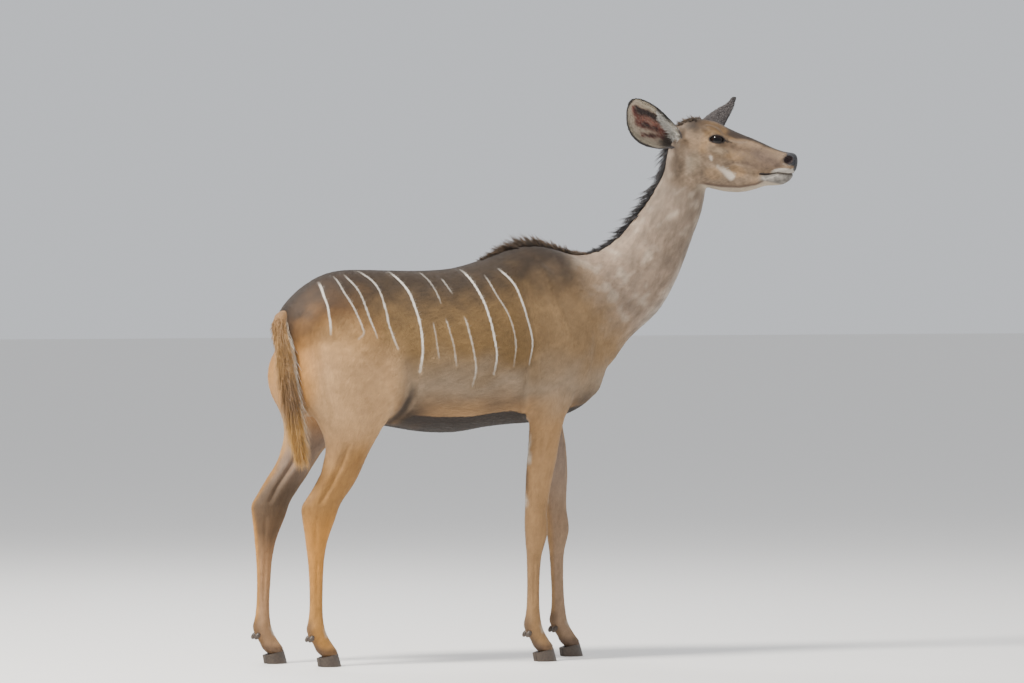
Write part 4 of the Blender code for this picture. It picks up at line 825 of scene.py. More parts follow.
faceMarks = [
    # two white spots on the cheek, the pale temple, the arcs before and over the eye and behind the ear
    ("faceWhite", 0.75, ("line", [(0.0778, -0.0045), (0.0805, -0.0100)], 0.0040, 0.0026, 0.03)),
    ("faceWhite", "spotStrength", ("spotGap", 0.0030, -0.0070, "rough", 0.0022), ("l", 0.011, 0.019)),
    ("faceWhite", 0.07, ("line", [(-0.004, 0.002), (0.012, -0.022), (0.018, -0.060)], 0.010, 0.013, 0.03)),
    ("lipPale", 0.16, ("line", [(0.122, 0.0545), (0.140, 0.0550), (0.172, 0.0610)], 0.0012, 0.0022, 0.0)),
    ("tan", 0.35, ("line", [(0.046, 0.056), (0.056, 0.067), (0.071, 0.0735), (0.090, 0.0710)],
                   0.0030, 0.0042, 0.01)),
    ("faceWhite", 0.30, ("line", [(-0.030, 0.012), (-0.034, 0.030)], 0.008, 0.007, 0.03)),
    # lips, chin and the underside of the jaw
    ("lipPale", 0.95, ("f", 0.256, 0.272), ("overLip", 0.0015, -0.0015, "rough", 0.001),
     ("underMouth", "below", 0)),
    ("lipGrey", 1.0, ("f", 0.222, 0.246), ("underMouth", 0.0, 0.003)),
    ("lipPale", 0.70, ("line", [(0.238, -0.0330), (0.250, -0.0375), (0.2627, -0.0282), (0.2833, -0.0170)],
                       0.0020, 0.0026, 0.008)),
    ("lipPale", 0.30, ("f", 0.245, 0.262), ("underMouth", 0.004, 0.010), ("underMouth", 0.036, 0.024),
     ("rough", -0.6, 0.8, "fine", 1.0)),
    ("jawPale", 0.9, ("underJaw", 0.0, 0.005), ("f", 0.04, 0.08)),
    # a dark line along the edge of the jaw above its pale underside, partly painted shade in the crease
    # pressed there
    ("jawDark", 0.85, ("jawGap", 0.0060, 0.0012), ("f", 0.05, 0.08), ("f", 0.252, 0.235),
     ("l", "above", 0.012)),
    # the dark corner of the mouth: partly dark lip skin, partly painted shade where the lips meet
    ("lip", 0.90, ("line", [(0.229, -0.0235), (0.256, -0.0180)], 0.0024, 0.0018, 0.012)),
    # dark skin round the nostrils, the bare pad between them with its speckles, and the pale rim below
    ("noseBridge", 0.80, ("nostrilGap", 0.025, 0.013, "rough", 0.002), ("u", 0.016, 0.024)),
    ("nosePad", "pad"),
    ("padPale", "padSpeckles", ("speckle", 0.25, 0.9)),
    ("lipPale", 0.30, ("line", [(0.2955, 0.0205), (0.306, 0.0180), (0.3160, 0.0212)], 0.0012, 0.0018, 0.0)),
    # the dark line between the lips: partly dark lip skin, partly painted shade in the groove pressed there
    ("lip", 0.92, ("lipGap", 0.0010, -0.0006)),
    # inside the nostrils near black: their dark red skin and painted shade in the opening
    ("nostril", 0.95, ("longNostrilGap", 0.0145, 0.0115), ("l", "above", 0.008)),
    # dark rim of the lids with the tear line in front
    ("eyeRim", 1.0, ("lidGap", 1.10, 0.90, "fine", 0.04)),
    ("eyeRim", 0.85, ("line", [(0.104, 0.0535), (0.127, 0.0495)], 0.0022, 0.0020, 0.02)),
]
faceLines = {  # forward places, and the height there of each edge on the side of the face
    "band": ([0.09, 0.103, 0.136, 0.185, 0.240, 0.285], [0.078, 0.068, 0.0645, 0.068, 0.059, 0.053]),
    "lipTop": ([0.2550, 0.2687, 0.2792, 0.3010, 0.3164, 0.3305],
               [-0.014, -0.003, 0.0022, 0.0088, 0.0092, 0.015]),
    "jaw": ([0.040, 0.066, 0.121, 0.180, 0.225, 0.249], [-0.090, -0.087, -0.084, -0.074, -0.056, -0.039]),
    "mouth": tuple(zip(*mouthPlan["line"])),
}
cheekSpot = {"line": [(0.103, -0.029), (0.126, -0.0375), (0.146, -0.0490)], "halfWidths": (0.0052, 0.0137),
             "strengths": (0.42, 0.80)}


def bandShare(measures, name, *limits):
    # how much of a mark one band lets show at each point
    if name == "line":
        line, halfWidth, softness, leastOut = limits
        gap, _ = distanceToLine(measures["flat"], line)
        return ramp(gap, halfWidth + softness, halfWidth - softness) * ramp(
            measures["l"], leastOut - 0.004, leastOut + 0.004)
    if name == "oval":
        middle, halfWidths, leastOut = limits
        gap = np.linalg.norm((measures["flat"] - middle) / np.array(halfWidths), axis=1)
        return ramp(gap, 1.15, 0.45) * ramp(measures["l"], leastOut - 0.004, leastOut + 0.004)
    start, full, *uneven = limits
    value = measures[name]
    if start == "below":
        return value < full
    if start == "above":
        return value > full
    if uneven:
        value = value + uneven[1] * measures[uneven[0]]
    return ramp(value, start, full)


def addMarks(colours, measures, marks):
    for name, strength, *bands in marks:
        if isinstance(strength, str):
            strength = measures[strength]
        elif isinstance(strength, tuple):
            least, most, band = strength
            strength = least + (most - least) * bandShare(measures, *band)
        weight = strength * np.ones(len(colours))
        for band in bands:
            weight = weight * bandShare(measures, *band)
        colours = blend(colours, coatColours[name], weight)
    return colours


def mottle(points):
    # clumps and streaks of darker and paler hair, drawn out along the lie of the coat
    x, y, z = points.T
    onTrunk = ramp(z, 0.66, 0.76) * (1 - ramp(x, 0.40, 0.55))
    lean = np.radians(20 * onTrunk + 68 * (1 - onTrunk))
    along = x * np.cos(lean) + z * np.sin(lean)
    across = -x * np.sin(lean) + z * np.cos(lean)
    drawnOut = np.stack([along * 0.28, y, across], axis=1)
    return (0.050 * wobble(points, 0.11) + 0.050 * wobble(drawnOut, 0.034) + 0.060 * wobble(drawnOut, 0.015)
            + 0.040 * wobble(points, 0.020))


def bodyMeasures(points, normals):
    x, y, z = points.T
    broad, fine, blotch = wobble(points, 0.16), wobble(points, 0.035), wobble(points + 3.0, 0.075)
    swing = np.where(y > 0, swingAt("foreleg_left", z), swingAt("foreleg_right", z))
    topZ = np.interp(x, [row[0] for row in trunkRows], [row[1] for row in trunkRows])
    foldGap, foldShare = distanceToLine(points[:, [0, 2]], creases["flank fold"][0])
    return {
        "x": x, "z": z, "off": np.abs(y), "broad": broad, "fine": fine, "blotch": blotch,
        "down": -normals[:, 2], "ahead": normals[:, 0],
        "inward": np.where(np.abs(y) > 0.02, -normals[:, 1] * np.sign(y), 0.0),
        "haunchGap": np.hypot((x + 0.37) / 0.14, (z - 0.955) / 0.11),
        "rearEdge": x + 0.20 * (1.0 - z),
        "neckWay": (x - 0.46) * 0.75 + (z - 1.08) * 0.66 + 0.02 * broad,
        "throatWay": normals[:, 0] * 0.8 - normals[:, 2] * 0.6,
        "pastRear": x - np.interp(z, [0.47, 0.56, 0.61, 0.72], [0.234, 0.236, 0.239, 0.243]) - swing,
        "pasternGap": np.abs(z - 0.098 + 0.004 * fine),
        "below": topZ - z, "foldGap": foldGap, "foldShare": foldShare,
    }


def coatColour(points, normals):
    measures = bodyMeasures(points, normals)
    colours = addMarks(evenColour(coatColours["flank"], len(points)), measures, bodyMarks)
    neckShare = bandShare(measures, *onNeck[0]) * bandShare(measures, *onNeck[1])
    colours *= (1 + mottle(points) * (1.25 + 0.9 * neckShare))[:, None]
    colours = blend(colours, coatColours["stripe"], stripeShares(points)[0] * 0.95)
    onHead = headShare(points, -0.06, 0.01)
    onFace = onHead > 0
    colours[onFace] += (faceColour(points[onFace]) - colours[onFace]) * onHead[onFace][:, None]
    return colours


def faceMeasures(points):
    local = inHead(points)
    f, l, u = local[:, 0], np.abs(local[:, 1]), local[:, 2]
    fine, rough = wobble(points, 0.030), wobble(points, 0.012)
    flat = local[:, [0, 2]] + 0.0022 * np.stack([fine, rough], axis=1)
    heights = {name: np.interp(f, *line) for name, line in faceLines.items()}
    spotShare = np.clip((f - 0.103) / 0.046, 0, 1)
    spotGap, _ = distanceToLine(flat, cheekSpot["line"])
    (narrow, wide), (faint, strong) = cheekSpot["halfWidths"], cheekSpot["strengths"]
    mouthGap, _ = distanceToLine(local[:, [0, 2]], mouthPlan["line"])
    fromNostril = f - mouthPlan["nostril"][0], u - mouthPlan["nostril"][1]
    # the bare pad narrows to a groove down the lip
    padLow = 0.0185 - 0.012 * ramp(l, 0.014, 0.004)
    pad = ramp(f + 0.0020 * rough + 0.35 * (u - 0.034), 0.299, 0.307) * ramp(u - padLow, -0.001, 0.003)
    pad = np.maximum(pad, ramp(f, 0.318, 0.326) * ramp(u, 0.000, 0.006) * ramp(l, 0.0035, 0.0015))
    pad = np.maximum(pad, ramp(f, 0.322, 0.328) * ramp(u, 0.004, 0.008))
    lidGap = np.full(len(points), 9.0)
    for side in sides.values():
        _, across, rise, outwards = aroundEye(points, side)
        almond = np.hypot(across / 0.0262, np.where(rise > 0, rise / 0.0152, rise / 0.0128))
        lidGap = np.where(outwards > -0.004, almond, lidGap)
    return {
        "f": f, "l": l, "u": u, "fine": fine, "rough": rough, "flat": flat,
        "overBand": u - heights["band"], "overLip": u - heights["lipTop"], "underMouth": heights["mouth"] - u,
        "underJaw": heights["jaw"] - u, "jawGap": np.abs(u - heights["jaw"]),
        "spotGap": spotGap - narrow - (wide - narrow) * spotShare,
        "spotStrength": faint + (strong - faint) * spotShare,
        "lipGap": mouthGap - 0.0022 + 0.0010 * ramp(f, 0.258, 0.275),
        "nostrilGap": np.hypot(*fromNostril),
        "longNostrilGap": np.hypot(fromNostril[0] / 1.05, fromNostril[1]),
        "pad": pad, "padSpeckles": pad * 0.55, "speckle": wobble(points, 0.0055), "lidGap": lidGap,
    }


def faceColour(points):
    measures = faceMeasures(points)
    face = addMarks(evenColour(coatColours["face"], len(points)), measures, faceGround)
    grain = 0.08 * wobble(points, 0.05) + 0.10 * wobble(points, 0.0065)
    face *= (1 + grain + 0.14 * measures["fine"] + 0.18 * measures["rough"])[:, None]
    return addMarks(face, measures, faceMarks)


hideShade = {"body": 0.95, "ear": 0.90, "tail": 0.85}  # the hide between the hairs is painted darker than the hair: partly its own darker tone, partly painted shade
paint(skin.data, "coatColour", coatColour(*meshArrays(skin)[:2]) * hideShade["body"])
print("skin painted")


# hooves: where the horn ends and the hair begins

hoofPlan = {
    "length": 0.068, "toeHeight": 0.044, "heelHeight": 0.027, "halfWidth": 0.0265, "cleft": 0.0022,
    "topShare": 0.90, "topShift": -0.005, "outside": 22, "inside": 12,
    "dewclawRadii": (0.0080, 0.0076, 0.0125), "dewclawWay": (-0.62, 0.0, -0.78),
}


def coronetHeight(x, heelX):
    rise = (hoofPlan["toeHeight"] - hoofPlan["heelHeight"]) / hoofPlan["length"]
    return hoofPlan["heelHeight"] + rise * (x - heelX)


def cadBox(name):
    low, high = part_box(name)
    return Vector(low) - placeShift, Vector(high) - placeShift


def hoofTop(points):
    # height of the coronet above the floor at each point, from the hoof under it
    tops = np.zeros(len(points))
    for kind in legRows:
        for sideName, side in sides.items():
            own = onLegOf(points, kind, side)
            heelX = cadBox(f"hoof_{kind}_{sideName}_outer")[1].x - hoofPlan["length"]
            tops[own] = coronetHeight(points[own, 0], heelX)
    return tops


# tufts of the short coat

furPlan = {  # spacing, length, width and height of a tuft at its root, in metres
    "body": (0.0035, 0.0125, 0.0020, 0.0009),
    "leg": (0.0031, 0.0105, 0.0018, 0.0008),
    "foot": (0.0028, 0.0085, 0.0016, 0.0007),
    "face": (0.0024, 0.0068, 0.0014, 0.0006),
    "muzzle": (0.0020, 0.0045, 0.0011, 0.0005),
}
tuftPlan = {  # spread of the way in radians, lift in degrees, shares of length and width, spread of the shade
    "yaw": 0.15, "lift": (4.0, 8.0), "lengths": (0.75, 1.2), "widths": (0.8, 1.2), "shade": 0.085,
    # painted light at the tips and painted shade at the roots of the tufts
    "perPiece": 48000, "tipLight": 1.07, "rootShade": 0.87,
}
lieGuides = [  # x and z on the side view, and the way the hair runs there
    (-0.50, 1.00, -0.35, -0.95), (-0.42, 1.10, -0.80, -0.60), (-0.30, 1.15, -0.97, -0.25),
    (-0.10, 1.10, -0.93, -0.35), (0.10, 1.10, -0.90, -0.42), (0.25, 1.15, -0.85, -0.50),
    (0.35, 1.00, -0.55, -0.83), (0.10, 0.90, -0.90, -0.43), (-0.10, 0.85, -0.95, -0.30),
    (-0.05, 0.72, -1.00, 0.00), (0.20, 0.72, -1.00, 0.00), (-0.30, 0.95, -0.60, -0.80),
    (-0.42, 0.85, -0.35, -0.94), (-0.20, 0.80, -0.60, -0.80), (-0.36, 0.65, -0.35, -0.94),
    (-0.40, 0.45, -0.15, -0.99), (-0.43, 0.15, -0.05, -1.00), (0.30, 0.75, -0.25, -0.97),
    (0.28, 0.45, -0.05, -1.00), (0.30, 0.15, 0.02, -1.00), (0.45, 0.90, -0.35, -0.93),
    (0.48, 1.10, -0.65, -0.76), (0.60, 1.15, -0.66, -0.75), (0.70, 1.30, -0.50, -0.86),
    (0.75, 1.45, -0.45, -0.89),
]


def lieOf(points, normals):
    # the way the hair lies at each point, flat on the skin
    guides = np.array(lieGuides)
    ways = np.zeros((len(points), 3))
    total = np.zeros(len(points))
    for gx, gz, dx, dz in guides:
        weight = 1 / ((points[:, 0] - gx) ** 2 + (points[:, 2] - gz) ** 2 + 0.004) ** 2
        ways[:, 0] += weight * dx
        ways[:, 2] += weight * dz
        total += weight
    ways /= total[:, None]
    local = inHead(points)
    onHead = headShare(points, -0.09, 0.05)[:, None]
    drop = ramp(-local[:, 2], -0.05, 0.06)[:, None]
    headWay = -np.array(headForward)[None] * (1 - 0.35 * drop) - np.array(headUp)[None] * 0.45 * drop
    ways = ways * (1 - onHead) + headWay * onHead
    ways -= normals * np.sum(ways * normals, axis=1, keepdims=True)
    return unit(ways)


def furSizes(points):
    # tuft spacing, length, width and height at each point, passing smoothly from one part to the next
    forward = inHead(points)[:, 0]
    onHead = headShare(points, -0.08, 0.02)
    shares = {"leg": ramp(-points[:, 2], -0.74, -0.56), "foot": ramp(-points[:, 2], -0.34, -0.18),
              "face": onHead, "muzzle": onHead * ramp(forward, 0.15, 0.25)}
    sizes = np.tile(np.array(furPlan["body"]), (len(points), 1))
    for name, share in shares.items():
        sizes += (np.array(furPlan[name]) - sizes) * share[:, None]
    # finer where a stripe has to be drawn
    near = 1 - ramp(stripeShares(points)[1], 0.006, 0.014)
    return sizes * (1 - near[:, None] * np.array((0.34, 0.45, 0.42, 0.30)))


def bareSkin(points):
    # no hair on the nose pad, in the nostrils, between the lips, inside the lids or under the hooves
    local = inHead(points)
    f, u = local[:, 0], local[:, 2]
    bare = (f > 0.298) & (u > 0.012)
    bare |= (distanceToLine(local[:, [0, 2]], mouthPlan["line"])[0] < 0.0030) & (f > 0.215)
    bare |= np.hypot((f - mouthPlan["nostril"][0]) / 1.05, u - mouthPlan["nostril"][1]) < 0.0165
    for side in sides.values():
        away, across, rise, outwards = aroundEye(points, side)
        bare |= (np.hypot(across / 0.0240, rise / 0.0142) < 1.0) & (outwards > -0.002)
        bare |= np.linalg.norm(away, axis=1) < eyePlan["radius"] + 0.0012
    bare &= points[:, 2] > 1.38
    return bare | (points[:, 2] < hoofTop(points) - 0.004)


def scatter(points, normals, faces):
    # even random places on the faces: one draw kept in each little cube as wide as the spacing there
    corners = points[faces]
    sizes = furSizes(corners.mean(axis=1))
    count = draw.poisson(faceAreas(corners) / sizes[:, 0] ** 2 * 4.0)
    chosen = np.repeat(np.arange(len(faces)), count)
    draw.shuffle(chosen)
    _, places, ups = randomSpots(points, normals, faces, chosen)
    level = np.round(np.log(sizes[chosen, 0]) / 0.12)
    cell = np.floor(places / (1.2 * np.exp(0.12 * level))[:, None]).astype(np.int64) + 100000
    key = (((level.astype(np.int64) + 200) * 300007 + cell[:, 0]) * 300007 + cell[:, 1]) * 300007 + cell[:, 2]
    _, first = np.unique(key, return_index=True)
    return places[first], ups[first], sizes[chosen][first]


bakeParts = [  # u, v, width and height of the rectangle that each part has on the unwrap
    (0.01, 0.01, 0.48, 0.48), (0.51, 0.01, 0.23, 0.48), (0.76, 0.01, 0.23, 0.48),
    (0.01, 0.51, 0.23, 0.23), (0.26, 0.51, 0.23, 0.23), (0.01, 0.76, 0.23, 0.23), (0.26, 0.76, 0.23, 0.23),
    (0.51, 0.51, 0.14, 0.48), (0.67, 0.51, 0.14, 0.48), (0.83, 0.51, 0.14, 0.48),
]


def bakePlace(points):
    # where each point lies on an unwrap of the body: round its axis, and along it
    x, y, z = points.T
    local = inHead(points)
    u = np.arctan2(y, z - 0.94) / 6.2832 + 0.5
    v = (x + 0.55) / 1.1
    part = np.zeros(len(points), int)
    neck = (x - 0.46) * 0.75 + (z - 1.08) * 0.66 > 0
    u = np.where(neck, np.arctan2(y + 0.1 * ramp(z, 1.0, 1.5), (z - 1.2) * 0.6 - (x - 0.66) * 0.8) / 6.2832
                 + 0.5, u)
    v = np.where(neck, (z - 0.85) / 0.75, v)
    part[neck] = 1
    head = (local[:, 0] > -0.03) & (z > 1.38)
    u = np.where(head, np.arctan2(local[:, 1], local[:, 2] - 0.01) / 6.2832 + 0.5, u)
    v = np.where(head, (local[:, 0] + 0.07) / 0.42, v)
    part[head] = 2
    for k, (kind, sideName) in enumerate((a, b) for a in legRows for b in sides):
        own = (z < 0.70) & onLegOf(points, kind, sides[sideName])
        table = np.array(legRows[kind])[::-1]
        middle = (np.interp(z, table[:, 0], table[:, 1]) + np.interp(z, table[:, 0], table[:, 2])) / 2
        middle = middle + swingAt(f"{kind}_{sideName}", z)
        u = np.where(own, np.arctan2(y - sides[sideName] * 0.1, x - middle) / 6.2832 + 0.5, u)
        v = np.where(own, z / 0.70, v)
        part[own] = 3 + k
    rects = np.array(bakeParts)[part]
    return rects[:, :2] + np.clip(np.stack([u, v], axis=1), 0, 1) * rects[:, 2:]


def hairMesh(name, roots, ways, ups, lengths, widths, heights, colours, bake, rings=1, bends=None,
             tipLight=1.12,
             rootShade=0.80, tipColours=None, flat=False):
    # three-sided tapered hairs or tufts: corners at each ring, one point at the tip
    count = len(roots)
    across = unit(np.cross(ups, ways))
    above = unit(np.cross(ways, across))
    if bends is None:
        bends = np.zeros((count, 3))
    corners = 3 * rings + 1
    verts = np.empty((count, corners, 3))
    shares = np.ones(corners)
    shades = np.repeat(ups[:, None, :], corners, axis=1)
    for k in range(rings):
        share = k / rings
        broad = (1 - share ** 1.6)
        centre = roots + ways * (lengths * share)[:, None] + bends * (lengths * share ** 2)[:, None]
        half = (widths * broad / 2)[:, None]
        high = (heights * broad)[:, None]
        verts[:, 3 * k] = centre + across * half - above * high * 0.3
        verts[:, 3 * k + 1] = centre + above * high
        verts[:, 3 * k + 2] = centre - across * half - above * high * 0.3
        shares[3 * k:3 * k + 3] = share
        shades[:, 3 * k] += across * 0.55
        shades[:, 3 * k + 2] -= across * 0.55
    verts[:, -1] = roots + ways * lengths[:, None] + bends * lengths[:, None]
    # no hair reaches past the part's own box
    lowest, highest = (np.array(Vector(corner) - placeShift) for corner in (cadLow, cadHigh))
    verts = np.clip(verts, lowest + 0.0004, highest - 0.0004)
    pattern = [(0, 2, 1)]
    for k in range(rings - 1):
        for i in range(3):
            j = (i + 1) % 3
            a, b = 3 * k, 3 * (k + 1)
            pattern += [(a + i, a + j, b + j), (a + i, b + j, b + i)]
    last = 3 * (rings - 1)
    pattern += [(last + i, last + (i + 1) % 3, corners - 1) for i in range(3)]
    pattern = np.array(pattern)
    faces = (np.arange(count)[:, None, None] * corners + pattern[None]).reshape(-1, 3)
    mesh = bpy.data.meshes.new(name)
    mesh.vertices.add(count * corners)
    mesh.vertices.foreach_set("co", verts.astype(np.float32).ravel())
    mesh.loops.add(len(faces) * 3)
    mesh.loops.foreach_set("vertex_index", faces.astype(np.int32).ravel())
    mesh.polygons.add(len(faces))
    mesh.polygons.foreach_set("loop_start", np.arange(0, len(faces) * 3, 3, dtype=np.int32))
    mesh.update(calc_edges=True)
    if tipColours is None:
        tipColours = colours
    along = shares[None, :, None]
    tinted = colours[:, None, :] * (1 - along) + tipColours[:, None, :] * along
    # each hair painted darker at its root and lighter at its tip: painted shade and painted light for the
    # depth of the coat
    tinted = tinted * (rootShade + (tipLight - rootShade) * along)
    paint(mesh, "coatColour", tinted.reshape(-1, 3))
    patch = np.empty((corners, 2))
    for k in range(corners):
        patch[k] = ((k % 3 - 1) * 0.0012, (k // 3 / max(rings, 1) - 0.5) * 0.0028)
    patch[-1] = (0.0, 0.0014)
    cornerUv = (bake[:, None, :] + patch[None]).reshape(-1, 2)
    layer = mesh.uv_layers.new(name="OFBake")
    layer.data.foreach_set("uv", cornerUv[faces.ravel()].astype(np.float32).ravel())
    mesh.shade_smooth()
    if flat:
        # short hair takes the light as the skin under it does, rounded a little across
        mesh.normals_split_custom_set_from_vertices(unit(shades.reshape(-1, 3)))
    made = bpy.data.objects.new(name, mesh)
    collection.objects.link(made)
    return made


coatPieces = []


def growShortCoat():
    places, ups, sizes = scatter(*meshArrays(skin))
    keep = ~bareSkin(places)
    places, ups, sizes = places[keep], ups[keep], sizes[keep]
    count = len(places)
    ways = lieOf(places, ups)
    # beside a stripe the hair lies along it, which keeps its edges crisp
    _, gap, heading = stripeShares(places)
    heading -= ups * np.sum(heading * ups, axis=1)[:, None]
    beside = (ramp(gap, 0.015, 0.007) * (np.linalg.norm(heading, axis=1) > 0))[:, None]
    ways = unit(ways * (1 - beside) + unit(heading + 1e-9) * beside)
    across = np.cross(ups, ways)
    yaw = draw.normal(0.0, tuftPlan["yaw"], count)[:, None] * (1 - 0.7 * beside)
    lift = np.radians(draw.uniform(*tuftPlan["lift"], count))[:, None]
    ways = unit(ways * np.cos(yaw) + across * np.sin(yaw))
    ways = unit(ways * np.cos(lift) + ups * np.sin(lift))
    lengths = sizes[:, 1] * draw.uniform(*tuftPlan["lengths"], count)
    widths = sizes[:, 2] * draw.uniform(*tuftPlan["widths"], count)
    shade = (1.0 + draw.normal(0.0, tuftPlan["shade"], count))[:, None]
    rootColours = coatColour(places, ups) * shade
    tips = places + ways * (lengths * 0.85)[:, None] - ups * (lengths * 0.08)[:, None]
    tipColours = coatColour(tips, ups) * shade
    roots = places - ups * (sizes[:, 3] * 0.6)[:, None]
    bake = bakePlace(places)
    order = np.argsort(places[:, 0])
    for k, start in enumerate(range(0, count, tuftPlan["perPiece"])):
        own = order[start:start + tuftPlan["perPiece"]]
        coatPieces.append(hairMesh(
            f"shortCoat{k + 1}", roots[own], ways[own], ups[own], lengths[own], widths[own], sizes[own, 3],
            rootColours[own], bake[own], tipLight=tuftPlan["tipLight"], rootShade=tuftPlan["rootShade"],
            tipColours=tipColours[own], flat=True))
    print("short coat:", count, "tufts in", len(coatPieces), "pieces")


growShortCoat()


# mane, crest and poll hair

manePlan = {
    "rows": [  # share of the line from rump to poll, hair length, lean back from upright in degrees
        (0.385, 0.010, 60), (0.420, 0.028, 56), (0.460, 0.050, 52), (0.500, 0.056, 50), (0.540, 0.042, 52),
        (0.575, 0.026, 56), (0.620, 0.018, 56), (0.660, 0.030, 60), (0.700, 0.048, 60), (0.800, 0.058, 60),
        (0.880, 0.062, 60), (0.930, 0.046, 54), (0.955, 0.022, 46), (0.975, 0.020, 42), (0.992, 0.012, 44),
    ],
    "pieces": {  # from, to, spread of the clumps to the sides, two colours, gap from clump to clump
        "crest": (0.385, 0.620, 0.0060, ("#2b2018", "#66503a"), 0.0015),
        "nape": (0.620, 0.945, 0.0056, ("#1f1e22", "#4f4a49"), 0.0028),
        "poll": (0.945, 0.992, 0.0130, ("#2f2620", "#6b5845"), 0.0018),
    },
    "strands": 11, "width": 0.0013, "height": 0.0007,
}


def backLine():
    # from the rump over the withers and up the nape to the poll, with the way out of the skin
    line = [(Vector((row[0], 0.0, row[1])), Vector((0, 0, 1))) for row in smoothRows(trunkRows[2:13])]
    line += [(centre + up, up.normalized()) for centre, _, up, _ in list(neckFrames())[7:-3]]
    line += [(headMatrix @ Vector((row[0], 0.0, row[1])), headUp) for row in smoothRows(skullRows[1:4])]
    return line


def growManes():
    line = backLine()
    spots = np.array([p for p, _ in line])
    outs = np.array([o for _, o in line])
    lengths = lengthsAlong(spots)
    shares = lengths / lengths[-1]
    tree = surfaceTree(skin)
    table = np.array(manePlan["rows"])

    def lineFrame(t):
        place, ahead, behind, out = (alongLine(t + step, shares, line) for step, line in (
            (0, spots), (0.01, spots), (-0.01, spots), (0, outs)))
        forward = unit(ahead - behind)
        side = unit(np.cross(out, forward))
        return place, forward, side, unit(np.cross(forward, side))

    for name, (start, stop, spread, hexes, gap) in manePlan["pieces"].items():
        clumps = int((stop - start) * lengths[-1] / gap)
        t = start + (stop - start) * (np.arange(clumps) + draw.random(clumps)) / clumps
        place, forward, side, out = lineFrame(t)
        offset = draw.normal(0.0, spread, clumps)[:, None]
        lean = np.radians(np.interp(t, table[:, 0], table[:, 2]) + draw.normal(0.0, 8.0, clumps))[:, None]
        sideways = draw.normal(0.0, 0.13, (clumps, 1)) + 9 * offset
        way = unit(out * np.cos(lean) - forward * np.sin(lean) + side * sideways)
        reach = np.interp(t, table[:, 0], table[:, 1]) * draw.uniform(0.45, 1.16, clumps)
        tips = place + side * offset + way * reach[:, None]
        # the strands of one clump start apart and meet near its tip
        own = np.repeat(np.arange(clumps), manePlan["strands"])
        count = len(own)
        place, forward, side, out = lineFrame(t[own] + draw.normal(0.0, 0.0026, count))
        place = place + side * (offset[own] + draw.normal(0.0, 0.0028, (count, 1)))
        roots = np.array([tree.find_nearest(Vector(p))[0] for p in place]) - out * 0.002
        towards = tips[own] + draw.normal(0.0, 0.0022, (count, 3)) - roots
        length = np.linalg.norm(towards, axis=1) * draw.uniform(0.62, 1.04, count)
        bends = -forward * 0.10 - out * draw.uniform(0.02, 0.12, count)[:, None]
        dark, pale = (np.array(linear(h)) for h in hexes)
        mix = draw.random(count)[:, None] ** 2
        coatPieces.append(hairMesh(
            name + "Mane", roots, unit(towards), side, length, np.full(count, manePlan["width"]),
            np.full(count, manePlan["height"]), dark * (1 - mix) + pale * mix, bakePlace(roots),
            rings=3, bends=bends, tipLight=1.15, rootShade=0.75))
    print("manes grown")


growManes()


# ears

